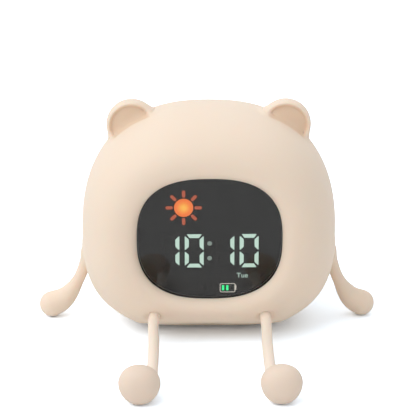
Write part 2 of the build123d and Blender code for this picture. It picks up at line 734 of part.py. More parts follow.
def led_chips(outlines):
    """One chip at the bottom of each light cell."""
    chips = []
    for outline in outlines:
        centre = outline.bounding_box().center()
        half = LED_WIDTH / 2
        chips.append(box((centre.X - half, centre.X + half),
                         (display_board_front - LED_HEIGHT, display_board_front),
                         (centre.Z - half / 2, centre.Z + half / 2)))
    return chips


def board_screws(holes, head_side, way):
    """Small screws through a board; way is the direction that they are driven in along Y."""
    screws = []
    for x, z in holes:
        head_end = head_side - way * SCREW_HEAD_HEIGHT
        head = rod_y(x, z, head_end, head_side, SCREW_HEAD_RADIUS)
        shank = rod_y(x, z, head_side, head_side + way * SCREW_LENGTH, SCREW_RADIUS)
        screws.append(solid_of(head + shank))
    return screws


# ================================================================ night light and touch pad
def light_arm(x):
    """Arm of the front shell that carries the light board."""
    half = LIGHT_ARM_WIDTH / 2
    base = light_board_base - LIGHT_ARM_THICKNESS
    return box((x - half, x + half), (frame_back - 2, light_board_end + 1), (base, light_board_base))


def light_screws_at():
    return [(side * LIGHT_ARM_SPACING / 2, light_board_end - BOARD_HOLE_MARGIN) for side in (-1, 1)]


def light_board():
    half = LIGHT_BOARD_WIDTH / 2
    shape = box((-half, half), (light_board_start, light_board_end), (light_board_base, light_board_top))
    for x, y in light_screws_at():
        shape -= rod((x, y, light_board_base - 1), (x, y, light_board_top + 1), SCREW_RADIUS + SLIP_FIT)
    return solid_of(shape)


def light_leds():
    y_middle = light_board_start + LIGHT_LED_SETBACK
    pitch = LIGHT_BOARD_WIDTH / LIGHT_LED_COUNT
    leds = []
    for index in range(LIGHT_LED_COUNT):
        x = (index - (LIGHT_LED_COUNT - 1) / 2) * pitch
        leds.append(box((x - LIGHT_LED_WIDTH / 2, x + LIGHT_LED_WIDTH / 2),
                        (y_middle - LIGHT_LED_DEPTH / 2, y_middle + LIGHT_LED_DEPTH / 2),
                        (light_board_top, light_board_top + LIGHT_LED_HEIGHT)))
    return leds


def light_screws():
    screws = []
    for x, y in light_screws_at():
        head_top = light_board_top + SCREW_HEAD_HEIGHT
        head = rod((x, y, light_board_top), (x, y, head_top), SCREW_HEAD_RADIUS)
        shank = rod((x, y, light_board_top - SCREW_LENGTH), (x, y, light_board_top), SCREW_RADIUS)
        screws.append(solid_of(head + shank))
    return screws


def touch_flat():
    """Height of the flat that the touch electrode is fixed to."""
    return upper_reach(0, TOUCH_PAD_SETBACK - TOUCH_PAD_DIAMETER / 2, shell_inside) - TOUCH_FLAT_DROP


def touch_boss():
    """Solid pad under the top of the front shell, flat below, for the touch electrode."""
    return rod((0, TOUCH_PAD_SETBACK, touch_flat()), (0, TOUCH_PAD_SETBACK, BODY_HEIGHT),
               TOUCH_PAD_DIAMETER / 2 + 1)


def touch_pad():
    return rod((0, TOUCH_PAD_SETBACK, touch_flat() - TOUCH_PAD_THICKNESS),
               (0, TOUCH_PAD_SETBACK, touch_flat()), TOUCH_PAD_DIAMETER / 2)


# ================================================================ rear panel
def button_places():
    middle = (len(BUTTON_NAMES) - 1) / 2
    for index, name in enumerate(BUTTON_NAMES):
        yield name, (index - middle) * BUTTON_PITCH, WINDOW_CENTRE_HEIGHT + BUTTON_ROW


def cover_screws_at():
    """Screw positions in the middle of the ledge under the cover."""
    half_width = WINDOW_HALF_WIDTH - (COVER_LEDGE + LOOSE_FIT) / 2
    half_height = WINDOW_HALF_HEIGHT - (COVER_LEDGE + LOOSE_FIT) / 2
    across, up = cos(radians(COVER_SCREW_ANGLE)), sin(radians(COVER_SCREW_ANGLE))
    power = WINDOW_SQUARENESS
    reach = ((across / half_width) ** power + (up / half_height) ** power) ** (-1 / power)
    x, z = reach * across, reach * up
    return [(sx * x, WINDOW_CENTRE_HEIGHT + sz * z) for sx in (-1, 1) for sz in (-1, 1)]


def grille_holes():
    """Hole centres of the speaker grille, in staggered rows inside a circle."""
    rows = int(GRILLE_RADIUS / (GRILLE_PITCH * 0.866))
    for row in range(-rows, rows + 1):
        for column in range(-rows - 1, rows + 2):
            x = (column + 0.5 * (row % 2)) * GRILLE_PITCH
            z = row * GRILLE_PITCH * 0.866
            if hypot(x, z) <= GRILLE_RADIUS:
                yield x, WINDOW_CENTRE_HEIGHT + SPEAKER_Z + z


def slot_plate(x, z, width, height, y_start, y_end, corner):
    outline = sketch_plane(x, z) * RectangleRounded(width, height, corner)
    return plate(outline, y_start, y_end)


def rear_cover():
    """Panel at the back with the buttons, power slider, grille, charging port and reset hole."""
    low, high = shell_rear - 1, cover_outside + 1
    shape = plate(window_outline(-LOOSE_FIT), shell_rear, cover_outside)
    for _, x, z in button_places():
        shape -= rod_y(x, z, low, high, BUTTON_DIAMETER / 2 + LOOSE_FIT)
    for x, z in grille_holes():
        shape -= rod_y(x, z, low, high, GRILLE_HOLE / 2)
    shape -= slot_plate(SLIDER_X + SLIDER_TRAVEL / 2, WINDOW_CENTRE_HEIGHT + SLIDER_Z,
                        SLIDER_WIDTH + SLIDER_TRAVEL + 2 * LOOSE_FIT, SLIDER_HEIGHT + 2 * LOOSE_FIT,
                        low, high, 1.0)
    shape -= slot_plate(0, WINDOW_CENTRE_HEIGHT + PORT_Z, PORT_WIDTH + 0.6, PORT_HEIGHT + 0.6,
                        low, high, PORT_HEIGHT / 2)
    shape -= rod_y(RESET_X, WINDOW_CENTRE_HEIGHT + RESET_Z, low, high, RESET_DIAMETER / 2)
    for x, z in cover_screws_at():
        shape -= rod_y(x, z, low, high, SCREW_RADIUS + SLIP_FIT)
        shape -= rod_y(x, z, cover_outside - SCREW_HEAD_HEIGHT, high, SCREW_HEAD_RADIUS + SLIP_FIT)
    return solid_of(shape)


def cover_screws():
    screws = []
    for x, z in cover_screws_at():
        seat = cover_outside - SCREW_HEAD_HEIGHT
        shank_end = seat - (SCREW_LENGTH - 1.5)
        head = rod_y(x, z, seat, cover_outside, SCREW_HEAD_RADIUS)
        screw = head + rod_y(x, z, shank_end, seat, SCREW_RADIUS)
        screws.append(cross_slot(screw, x, cover_outside, z, SCREW_HEAD_RADIUS))
    return screws


def button(x, z):
    """Button cap with its retaining flange and stem."""
    flange_back = shell_rear - SLIP_FIT * 2
    cap = rod_y(x, z, flange_back - FLANGE_THICKNESS, cover_outside + BUTTON_PROUD, BUTTON_DIAMETER / 2)
    cap = fillet(cap.edges().filter_by(GeomType.CIRCLE).group_by(Axis.Y)[-1], 0.6)
    flange = rod_y(x, z, flange_back - FLANGE_THICKNESS, flange_back, BUTTON_DIAMETER / 2 + FLANGE_EXTRA)
    stem = rod_y(x, z, plunger_top() + SLIP_FIT, flange_back, STEM_DIAMETER / 2)
    return solid_of(cap + flange + stem)


def plunger_top():
    return main_board_back + SWITCH_HEIGHT + PLUNGER_LENGTH


def switch_plunger(x, z):
    return rod_y(x, z, main_board_back + SWITCH_HEIGHT - PLUNGER_SINK, plunger_top(), PLUNGER_DIAMETER / 2)


def switch_housings():
    """Tact switch housings behind the buttons, each with a bore for its plunger."""
    half = SWITCH_SIZE / 2
    housings = []
    for _, x, z in button_places():
        deep = (main_board_back, main_board_back + SWITCH_HEIGHT)
        shape = box((x - half, x + half), deep, (z - half, z + half))
        bore_end = main_board_back + SWITCH_HEIGHT - PLUNGER_SINK - BUTTON_TRAVEL - LOOSE_FIT
        shape -= rod_y(x, z, bore_end, main_board_back + SWITCH_HEIGHT + 1, PLUNGER_DIAMETER / 2 + SLIP_FIT)
        housings.append(solid_of(shape))
    return housings


def power_slider():
    """Sliding knob with a flange behind the cover and a fork for the switch lever."""
    z = WINDOW_CENTRE_HEIGHT + SLIDER_Z
    flange_back = shell_rear - SLIP_FIT * 2
    knob = slot_plate(SLIDER_X, z, SLIDER_WIDTH, SLIDER_HEIGHT, flange_back - 1, cover_outside + 0.8, 0.8)
    flange = slot_plate(SLIDER_X, z, SLIDER_WIDTH + 3.2, SLIDER_HEIGHT + 2.4,
                        flange_back - FLANGE_THICKNESS, flange_back, 1.0)
    stem = slot_plate(SLIDER_X, z, 3.4, 3.4, lever_top() - 1.2, flange_back, 0.4)
    fork = slot_plate(SLIDER_X, z, 1.6, 1.6, lever_top() - 2, lever_top() + SLIP_FIT, 0.2)
    shape = knob + flange + stem - fork
    for index in (-1, 0, 1):
        groove = rod((SLIDER_X + index * 1.1, cover_outside + 0.9, z - SLIDER_HEIGHT),
                     (SLIDER_X + index * 1.1, cover_outside + 0.9, z + SLIDER_HEIGHT), 0.3)
        shape -= groove
    return solid_of(shape)


def lever_top():
    return main_board_back + 6.0


def slide_lever():
    z = WINDOW_CENTRE_HEIGHT + SLIDER_Z
    return slot_plate(SLIDER_X, z, 1.5, 1.5, main_board_back + 2.2, lever_top(), 0.2)


def slide_switch():
    """Housing of the power switch, slotted for its lever."""
    z = WINDOW_CENTRE_HEIGHT + SLIDER_Z
    x = SLIDER_X + SLIDER_TRAVEL / 2
    shape = slot_plate(x, z, 8.6, 4.4, main_board_back, main_board_back + 4.0, 0.3)
    slot = slot_plate(x, z, 1.5 + SLIDER_TRAVEL + 2 * LOOSE_FIT, 1.5 + 2 * SLIP_FIT,
                      main_board_back + 2.0, main_board_back + 5, 0.2)
    return solid_of(shape - slot)


def usb_socket():
    """Charging socket: a flat metal sleeve with a contact tongue."""
    z = WINDOW_CENTRE_HEIGHT + PORT_Z
    mouth = cover_outside - 0.5
    floor = mouth - PORT_DEPTH
    corner = PORT_HEIGHT / 2 - 0.05
    sleeve = slot_plate(0, z, PORT_WIDTH, PORT_HEIGHT, floor, mouth, corner)
    sleeve -= slot_plate(0, z, PORT_WIDTH - 2 * PORT_WALL, PORT_HEIGHT - 2 * PORT_WALL,
                         floor + 1, mouth + 1, corner - PORT_WALL)
    tongue = slot_plate(0, z, 6.7, 0.7, floor + 0.5, mouth - 1, 0.2)
    foot = box((-PORT_WIDTH / 2, PORT_WIDTH / 2), (main_board_back, floor + 0.5), (z - 1.4, z + 1.4))
    return solid_of(sleeve + tongue + foot)


def speaker_parts():
    """Speaker on the inside of the cover: gasket, frame, cone and magnet."""
    z = WINDOW_CENTRE_HEIGHT + SPEAKER_Z
    rim = SPEAKER_DIAMETER / 2
    can = rim - 2.5
    bore = can - 0.8
    face = shell_rear - SPEAKER_GASKET
    can_back = face - SPEAKER_DEPTH + MAGNET_DEPTH
    gasket = rod_y(0, z, face, shell_rear, rim) - rod_y(0, z, face - 1, shell_rear + 1, rim - 2)
    frame = rod_y(0, z, face - 1.2, face, rim) + rod_y(0, z, can_back, face, can)
    frame -= rod_y(0, z, can_back + 1, face + 1, bore)
    cone = speaker_cone_form(can_back + 1.2, face - 0.4, 3.5, bore - SLIP_FIT, z)
    hollow = speaker_cone_form(can_back + 1.9, face - 0.38, 2.8, bore - 0.6, z)
    magnet = rod_y(0, z, can_back - MAGNET_DEPTH, can_back, can * 0.7)
    return {"speaker_gasket": solid_of(gasket), "speaker_frame": solid_of(frame),
            "speaker_cone": solid_of(cone - hollow), "speaker_magnet": solid_of(magnet)}


def speaker_cone_form(y_small, y_large, small_radius, large_radius, z):
    """A cone frustum along Y, narrow toward the magnet."""
    frustum = Cone(small_radius, large_radius, y_large - y_small)
    return Pos(0, (y_small + y_large) / 2, z) * Rot(-90, 0, 0) * frustum


# ================================================================ boards, battery and leads
def controller_chips():
    """Controller and driver packages on the front of the main board."""
    chips = []
    beside = BATTERY_WIDTH / 2 + 4.0
    places = ((-beside, 8.0, 6.0, 6.0), (-beside, -6.0, 5.0, 8.0), (beside, 8.0, 3.2, 5.0))
    for x, z, width, height in places:
        middle = WINDOW_CENTRE_HEIGHT + z
        chips.append(box((x - width / 2, x + width / 2), (main_board_front - 1.2, main_board_front),
                         (middle - height / 2, middle + height / 2)))
    return chips


def battery_cell():
    """Lithium pouch cell with rounded edges."""
    outline = sketch_plane(0, battery_middle) * RectangleRounded(BATTERY_WIDTH, BATTERY_HEIGHT, 2.5)
    cell = plate(outline, battery_front, battery_back)
    return fillet(cell.edges().group_by(Axis.Y)[0], 1.5)


def battery_pad():
    return slot_plate(0, battery_middle, BATTERY_WIDTH - 6, BATTERY_HEIGHT - 6,
                      battery_back, main_board_front, 1.0)


CONNECTOR_X = (-12.0, 0.0, 12.0, 22.0)


def board_connectors():
    """Lead sockets along the top edge of the front of the main board."""
    top = WINDOW_CENTRE_HEIGHT + MAIN_BOARD_HEIGHT / 2 - 1.0
    sockets = []
    for x in CONNECTOR_X:
        half = CONNECTOR_WIDTH / 2 - 0.5
        sockets.append(box((x - half, x + half), (main_board_front - CONNECTOR_DEPTH, main_board_front),
                           (top - CONNECTOR_HEIGHT, top)))
    return sockets


def lead(points):
    """A lead along straight runs joined by arcs as large as the runs allow."""
    points = [Vector(*point) for point in points]
    radii = []
    for before, corner, after in zip(points, points[1:], points[2:]):
        first, second = corner - before, after - corner
        turn = radians(first.get_angle(second))
        radii.append(BEND_SHARE * min(first.length, second.length) / tan(turn / 2))
    path = FilletPolyline(*points, radius=radii)
    start = Plane(origin=points[0], z_dir=(points[1] - points[0]).normalized())
    tube = sweep(start * Circle(LEAD_RADIUS), path=path)
    print("lead radii", [round(radius, 1) for radius in radii],
          "volume share", round(tube.volume / (pi * LEAD_RADIUS ** 2 * path.length), 4))
    return solid_of(tube)


def leads():
    """Leads from the main board to the battery, speaker, touch pad, light and display boards."""
    top = WINDOW_CENTRE_HEIGHT + MAIN_BOARD_HEIGHT / 2 - 1.0
    low = top - CONNECTOR_HEIGHT
    socket_y = main_board_front - CONNECTOR_DEPTH / 2
    cell_top = battery_middle + BATTERY_HEIGHT / 2
    cell_y = (battery_front + battery_back) / 2
    light_z = light_board_base + BOARD_THICKNESS / 2
    plug_z = display_board_top - 9.7
    pad_z = touch_flat() - TOUCH_PAD_THICKNESS - LEAD_RADIUS - SLIP_FIT
    can_z = WINDOW_CENTRE_HEIGHT + SPEAKER_Z
    can_back = shell_rear - SPEAKER_GASKET - SPEAKER_DEPTH + MAGNET_DEPTH
    x_battery, x_light, x_display, x_touch = CONNECTOR_X
    routes = {
        "battery_lead": [(x_battery, cell_y, cell_top), (x_battery, cell_y, mix(cell_top, low, 0.35)),
                         (x_battery, socket_y, mix(cell_top, low, 0.65)), (x_battery, socket_y, low)],
        "light_lead": [(x_light, socket_y, top), (x_light, socket_y, top + 5.5),
                       (x_light, mix(socket_y, light_board_end, 0.27), light_z + 0.8),
                       (x_light, mix(socket_y, light_board_end, 0.66), light_z),
                       (x_light, light_board_end, light_z)],
        "display_lead": [(x_display, socket_y, top), (x_display, socket_y, top + 5.3),
                         (x_display, mix(socket_y, display_board_back, 0.16), top + 8.3),
                         (x_display, mix(socket_y, display_board_back, 0.39), top + 5.3),
                         (x_display, mix(socket_y, display_board_back, 0.65), mix(top, plug_z, 0.3)),
                         (x_display, mix(socket_y, display_board_back, 0.83), plug_z),
                         (x_display, display_board_back, plug_z)],
        "touch_lead": [(x_touch, socket_y, top), (x_touch, socket_y, top + 6.3),
                       (x_touch - 4, socket_y - 5.8, mix(top, pad_z, 0.76)),
                       (x_touch / 2, TOUCH_PAD_SETBACK + 13, pad_z - 0.55),
                       (4, TOUCH_PAD_SETBACK + 3, pad_z)],
        "speaker_lead": [(9.5, main_board_back, can_z), (9.5, mix(main_board_back, can_back, 0.34), can_z),
                         (8.0, mix(main_board_back, can_back, 0.66), can_z), (8.0, can_back, can_z)],
    }
    return {name: lead(points) for name, points in routes.items()}


# ================================================================ assembly
def grouped(shapes):
    return Compound(children=list(shapes))


def build():
    outside, inside = shell_blank()
    lit, dark = digit_outlines()
    colon = colon_outlines()
    disc, rays = sun_outlines()
    battery_frame, bars = battery_outlines()
    weekday = weekday_outline()
    display_holes = display_bosses()
    cells = lit + dark + colon + disc + rays + bars + [weekday]

    block = plate(window_outline(-SEAT_STEP - SKIN_GAP), block_front, display_board_front)
    for outline in cells + [battery_frame]:
        block = block - light_cell(outline, BLOCK_DEPTH + 1, SLIP_FIT)

    parts = {
        "silicone_skin": silicone_skin(),
        "front_shell": front_shell(outside, inside),
        "rear_shell": rear_shell(outside, inside),
        "shell_screws": grouped(shell_screws()),
        "display_lens": display_lens(),
        "lens_gasket": lens_gasket(),
        "reflector_block": solid_of(block),
        "digit_guides": grouped([light_cell(outline, GUIDE_DEPTH) for outline in lit]),
        "unlit_digit_guides": grouped([light_cell(outline, GUIDE_DEPTH) for outline in dark]),
        "colon_guides": grouped([light_cell(outline, GUIDE_DEPTH) for outline in colon]),
        "sun_disc_guide": light_cell(disc[0], GUIDE_DEPTH),
        "sun_ray_guides": grouped([light_cell(outline, GUIDE_DEPTH) for outline in rays]),
        "battery_outline_guide": light_cell(battery_frame, GUIDE_DEPTH),
        "battery_bar_guides": grouped([light_cell(outline, GUIDE_DEPTH) for outline in bars]),
        "weekday_guide": light_cell(weekday, GUIDE_DEPTH),
        "display_board": upright_board(DISPLAY_BOARD_WIDTH, DISPLAY_BOARD_HEIGHT,
                                       display_board_front, display_holes),
        "display_leds": grouped(led_chips(cells)),
        "light_board": light_board(),
        "night_light_leds": grouped(light_leds()),
        "touch_pad": touch_pad(),
        "main_board": upright_board(MAIN_BOARD_WIDTH, MAIN_BOARD_HEIGHT,
                                    main_board_front, main_board_corners()),
        "board_screws": grouped(board_screws(display_holes, display_board_back, -1)
                                + board_screws(main_board_corners(), main_board_front, 1)
                                + light_screws()),
        "controller_chips": grouped(controller_chips()),
        "board_connectors": grouped(board_connectors()),
        "switch_housings": grouped(switch_housings()),
        "slide_switch": slide_switch(),
        "slide_lever": slide_lever(),
        "power_slider": power_slider(),
        "usb_socket": usb_socket(),
        "rear_cover": rear_cover(),
        "rear_cover_screws": grouped(cover_screws()),
        "battery_cell": battery_cell(),
        "battery_pad": battery_pad(),
        "arm_left": arm(-1),
        "arm_right": arm(1),
        "leg_left": leg(-1, LEG_LEFT_SPLAY, FOOT_LEFT_OFFSET),
        "leg_right": leg(1, LEG_RIGHT_SPLAY, FOOT_RIGHT_OFFSET),
        "leg_plug_left": leg_plug(-1),
        "leg_plug_right": leg_plug(1),
    }
    for name, x, z in button_places():
        parts["button_" + name] = button(x, z)
        parts["plunger_" + name] = switch_plunger(x, z)
    parts.update(speaker_parts())
    parts.update(leads())
    return parts


parts = build()
os.makedirs("parts", exist_ok=True)
for node, shape in parts.items():
    export_step(shape, "parts/" + node + ".step")
print(len(parts), "nodes")
for side in (-1, 1):
    print("arm hinge", arm_hinge(side), "leg hinge", *leg_hinge(side))
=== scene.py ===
"""A bear-shaped bedside clock and night light: soft skin and limbs, smoked display, rear panel."""
import json
import math
from functools import partial

import bmesh
import bpy
import numpy as np
from bpy.props import (BoolProperty, FloatProperty, FloatVectorProperty, IntProperty,
                       PointerProperty, StringProperty)
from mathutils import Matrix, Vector

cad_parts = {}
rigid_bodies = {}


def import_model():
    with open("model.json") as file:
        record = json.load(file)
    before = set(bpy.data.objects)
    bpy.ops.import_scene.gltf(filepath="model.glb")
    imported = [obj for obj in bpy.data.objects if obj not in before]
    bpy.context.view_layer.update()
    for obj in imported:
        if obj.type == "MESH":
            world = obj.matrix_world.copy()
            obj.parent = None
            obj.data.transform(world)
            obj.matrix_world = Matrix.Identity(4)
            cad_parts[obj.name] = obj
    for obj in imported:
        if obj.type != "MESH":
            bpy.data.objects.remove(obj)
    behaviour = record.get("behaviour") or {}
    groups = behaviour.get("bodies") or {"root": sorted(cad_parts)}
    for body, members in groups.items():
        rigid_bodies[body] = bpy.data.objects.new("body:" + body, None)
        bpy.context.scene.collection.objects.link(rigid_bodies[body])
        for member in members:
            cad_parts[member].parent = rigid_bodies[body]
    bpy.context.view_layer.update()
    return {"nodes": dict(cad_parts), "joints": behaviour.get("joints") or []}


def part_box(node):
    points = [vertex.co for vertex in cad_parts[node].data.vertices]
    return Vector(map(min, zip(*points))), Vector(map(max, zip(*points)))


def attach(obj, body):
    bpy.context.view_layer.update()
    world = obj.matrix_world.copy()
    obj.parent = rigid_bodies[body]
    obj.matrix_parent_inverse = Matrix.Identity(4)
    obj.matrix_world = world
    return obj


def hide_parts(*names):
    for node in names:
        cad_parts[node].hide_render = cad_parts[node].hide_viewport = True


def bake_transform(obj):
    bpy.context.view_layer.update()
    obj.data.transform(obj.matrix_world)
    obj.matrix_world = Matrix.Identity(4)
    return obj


for leftover in list(bpy.data.objects):
    bpy.data.objects.remove(leftover)
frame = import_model()
for plain in list(bpy.data.materials):
    bpy.data.materials.remove(plain)

bl_info = {
    "name": "Bear Clock Dressing",
    "version": (1, 0, 0),
    "blender": (4, 5, 0),
    "location": "3D View > Sidebar > Clock",
    "description": "Builds the soft skin, limbs, display and rear panel of a bear-shaped clock",
    "category": "Object",
}

MM = 0.001
NODES = frame["nodes"]
HINGES = {joint["name"]: Vector(joint["pos_m"]) for joint in frame["joints"]
          if joint["type"] == "hinge"}
SIDES = {"left": -1, "right": 1}
BUTTONS = ("light", "alarm", "set", "minus", "plus")
CRISP_ANGLE = math.radians(35.0)    # faces that meet at more than this keep a crisp edge

SKIN_AROUND = 320                   # points round the skin
LIP_RINGS = 12                      # rings over each rolled lip
OUTER_RINGS = 111                   # rings of the outside between the lips
INNER_RINGS = 41                    # rings of the inside
EAR_RINGS, EAR_AROUND = 76, 144
ARM_RINGS, ARM_AROUND = 90, 72
LEG_RINGS, LEG_AROUND = 130, 56
FOOT_RINGS, FOOT_AROUND = 62, 96
LENS_RINGS = 56
BORDER_AROUND = 200
DOME_ANGLES = (12, 24, 36, 48, 58, 67, 75, 82, 87)      # rings of a limb's round end
SETTLE_STEPS, SETTLE_PACE = 9, 0.8  # steps toward a fillet, and the share taken of each
SETTLE_REACH = 3                    # a fillet acts within this many widths
FOOT_STEPS = 12
DISH_FLAT = 0.78                    # share of the ear's hollow that is flat
DISH_SHADE_FADE = (0.82, 0.96)            # shares of the hollow's radius over which its painted shade fades
BELLY_AT, BELLY_RUN = 22 * MM, 9 * MM                   # where along the depth it lifts
BELLY_FADE = (10 * MM, 22 * MM)     # heights over which the lift fades
PAINTED_PAD_FADE = 3 * MM                   # width over which the painted shade on a foot turns to the painted light on its leg

# Shares of an arm's reach across and down, and its radius in mm, from shoulder to hand.
ARM_PROFILE = ((-0.24, -0.62, 1.7), (-0.09, -0.28, 2.35), (0.0, 0.0, 2.62), (0.09, 0.234, 2.75),
               (0.27, 0.511, 3.05), (0.47, 0.73, 4.2), (0.73, 0.908, 5.5), (1.0, 1.0, 6.1))
# Shares of the plug's run from its inner end, and its radius in leg radii.
LEG_PLUG = ((0.0, 1.7), (0.2, 1.6), (0.32, 1.0), (0.6, 1.0))
LEG_BOW_SHARES = (0.35, 0.6, 0.85, 1.0)
LEG_JOIN_ASIDE = {-1: 5.0 * MM, 1: 3.7 * MM}            # leg's end from the middle of its foot
FOOT_POWER = 2.15
LENS_WALL_RUN = 0.2                 # share of the lens net that makes its edge
ROW_SHARE = 0.866                   # row spacing of a staggered field, in pitches
PORT_POWER, SLIDER_POWER = 3.0, 5.0
CHARGE_PITCH = 1.95 * MM
GUIDE_GREY, GUIDE_DARK = (0.3, 0.3, 0.3, 1.0), (0.03, 0.03, 0.03, 1.0)
UNLIT = (0.008, 0.010, 0.009, 1.0)
LAMPS = {"key": (0.50, 0.29, -0.82), "back": (0.0, -0.57, -0.82)}       # where each one shines
FLOOR_HALF = 6.0


# ---- settings
def length(name, description, millimetres):
    return FloatProperty(name=name, description=description, default=millimetres * MM, min=0.0,
                         precision=5, unit="LENGTH")


def number(name, description, default):
    return FloatProperty(name=name, description=description, default=default)


def angle(name, description, degrees):
    return FloatProperty(name=name, description=description, default=math.radians(degrees),
                         subtype="ANGLE")


def colour(name, description, default):
    return FloatVectorProperty(name=name, description=description, default=default,
                               size=3, min=0.0, max=1.0, subtype="COLOR")


class ClockBody(bpy.types.PropertyGroup):
    """Form of the body and of the window in it."""
    half_width: length("Half width", "Half of the body's width", 59.3)
    height: length("Height", "Height of the body without its ears", 105.8)
    half_depth: length("Half depth", "Half of the body's depth", 36.0)
    widest_height: length("Widest height", "Height at which the body is widest", 46.6)
    base_overdraw: length("Base overdraw", "How far the round bottom passes the flat base", 1.5)
    top_squareness: number("Top squareness", "Exponent of the outline's upper half", 2.37)
    bottom_squareness: number("Bottom squareness", "Exponent of the outline's lower half", 2.86)
    side_roundness: number("Side roundness", "Exponent of the front-to-back profile", 2.1)
    bottom_roundness: number("Bottom roundness", "Exponent of that profile underneath", 1.7)
    crest_share: number("Crest share", "How far the profile runs before the lip rolls in", 0.8)
    window_half_width: length("Window half width", "Half of the window's width", 33.3)
    window_half_height: length("Window half height", "Half of the window's height", 29.2)
    window_height: length("Window height", "Height of the window's middle", 51.9)
    window_squareness: number("Window squareness", "Exponent of the window's outline", 2.6)
    lip_depth: length("Lip depth", "How far the lip rolls in to the lens", 4.4)
    wall: length("Wall", "Thickness of the skin", 2.6)
    belly_lift: length("Belly lift", "How far the underside rises between the legs", 2.4)
    belly_half_width: length("Belly half width", "Half of the width over which it rises", 27.5)
    base_softness: length("Base softness", "Width of the soft turn into the flat base", 2.0)


class ClockEars(bpy.types.PropertyGroup):
    """The two round ears."""
    radius: length("Radius", "Radius of an ear", 11.8)
    half_thickness: length("Half thickness", "Half of an ear's thickness", 6.5)
    spread: length("Spread", "Ear centre from the middle", 35.7)
    height: length("Height", "Height of the ear centre", 96.0)
    setback: length("Setback", "Ear centre behind the middle", 3.5)
    squareness: number("Squareness", "Exponent of the ear's edge profile", 2.9)
    dish_radius: length("Dish radius", "Radius of the hollow in the ear's front", 11.2)
    dish_depth: length("Dish depth", "Depth of that hollow", 2.5)
    blend: length("Blend", "Width of the soft fillet into the body", 4.5)


class ClockLimbs(bpy.types.PropertyGroup):
    """Arms with their hands, legs with their feet."""
    arm_blend: length("Arm blend", "Width of the fillet between shoulder and body", 5.0)
    reach_left: length("Left reach", "Left hand's centre from the middle", 74.6)
    reach_right: length("Right reach", "Right hand's centre from the middle", 72.9)
    hand_radius: length("Hand radius", "Radius of the hand", 6.1)
    leg_radius: length("Leg radius", "Radius of a leg", 2.45)
    leg_join_height: length("Leg join height", "Height at which a leg meets its foot", 6.5)
    foot_forward: length("Foot forward", "Foot centre in front of the middle", 97.4)
    foot_radius: length("Foot radius", "Half of a foot's height", 8.9)
    foot_half_width: length("Foot half width", "Half of a foot's width", 9.35)
    foot_half_depth: length("Foot half depth", "Half of a foot's depth", 7.5)
    foot_narrowing: number("Foot narrowing", "Share of its width that it loses by the floor", 0.10)
    foot_blend: length("Foot blend", "Width of the fillet between leg and foot", 2.4)
    leg_bow: length("Leg bow", "How far a leg bows inward halfway", 0.5)
    plug_depth: length("Plug depth", "How far a leg reaches into the body", 10.0)
    dimple_radius: length("Dimple radius", "Radius of the dimple round a leg", 5.2)
    dimple_depth: length("Dimple depth", "Depth of that dimple", 1.3)


class ClockLens(bpy.types.PropertyGroup):
    """The smoked lens over the display, and the black print behind its edge."""
    overlap: length("Overlap", "How far the lens runs under the lip", 2.0)
    edge: length("Edge", "Front of the lens edge, in front of the middle", 31.3)
    back: length("Back", "Back of the lens, in front of the middle", 29.4)
    dome_radius: length("Dome radius", "Radius of the lens face", 650.0)
    around: IntProperty(name="Around", description="Points round its outline", default=160, min=16)
    border_inside: length("Border inside", "How far the print shows inside the window", 0.45)
    border_outside: length("Border outside", "How far it runs under the lip", 1.9)


class ClockPanel(bpy.types.PropertyGroup):
    """Rims and marks on the rear panel."""
    grille_pitch: length("Grille pitch", "Spacing of the grille's holes", 2.6)
    grille_radius: length("Grille radius", "Radius of the field of holes", 9.0)
    grille_drop: length("Grille drop", "Grille's middle below the panel's middle", 5.5)
    grille_rim: length("Grille rim", "Radius of the rim round a hole", 0.98)
    button_pitch: length("Button pitch", "Spacing of the buttons", 10.2)
    button_rise: length("Button rise", "Buttons above the panel's middle", 11.5)
    button_rim: length("Button rim", "Radius of the rim round a button", 4.85)
    rim_thickness: length("Rim thickness", "Half thickness of the rims", 0.24)
    port_drop: length("Port drop", "Charging port below the panel's middle", 20.0)
    port_width: length("Port width", "Width of the rim round the charging port", 10.6)
    port_height: length("Port height", "Height of that rim", 4.9)
    slider_aside: length("Slider aside", "Middle of the slider's slot from the slider", 1.0)
    slider_width: length("Slider width", "Width of the rim round that slot", 8.2)
    slider_height: length("Slider height", "Height of that rim", 5.4)
    mark_height: length("Mark height", "How far the buttons' marks stand proud", 0.16)


class ClockColours(bpy.types.PropertyGroup):
    """Colours of the finishes."""
    silicone: colour("Silicone", "Soft skin and limbs", (0.880, 0.738, 0.605))
    silicone_depth: colour("Silicone depth", "Light that comes back out of it", (1.0, 0.55, 0.36))
    # The next three colours lie over the one silicone colour: painted shade in the ears' hollows,
    # painted shade on the feet, and painted light on the legs.
    ear_painted_shade: colour("Ear painted shade", "Painted shade in the hollow of an ear", (0.790, 0.600, 0.445))
    foot_painted_shade: colour("Foot painted shade", "Painted shade on the feet", (0.825, 0.687, 0.572))
    leg_painted_light: colour("Leg painted light", "Painted light on the legs", (0.970, 0.832, 0.715))
    cover: colour("Cover", "Rear panel and buttons", (0.780, 0.690, 0.585))
    mark: colour("Marks", "Symbols on the buttons", (0.300, 0.255, 0.215))
    lens: colour("Lens", "Tint of the smoked lens", (0.42, 0.42, 0.41))
    digit: colour("Digits", "Light of the digits", (0.489, 0.677, 0.588))
    colon: colour("Colon", "Light of the colon", (0.333, 0.446, 0.385))
    sun: colour("Sun", "Light of the sun's disc", (0.84, 0.150, 0.0))
    sun_core: colour("Sun core", "Light in the middle of that disc", (0.96, 0.475, 0.053))
    ray: colour("Rays", "Light of the sun's rays", (0.40, 0.050, 0.0))
    icon: colour("Icons", "Light of the battery outline", (0.62, 0.58, 0.52))
    charge: colour("Charge", "Light of the charge bars", (0.0, 0.98, 0.275))
    weekday: StringProperty(name="Weekday", description="Lettering over the battery symbol",
                            default="Tue")


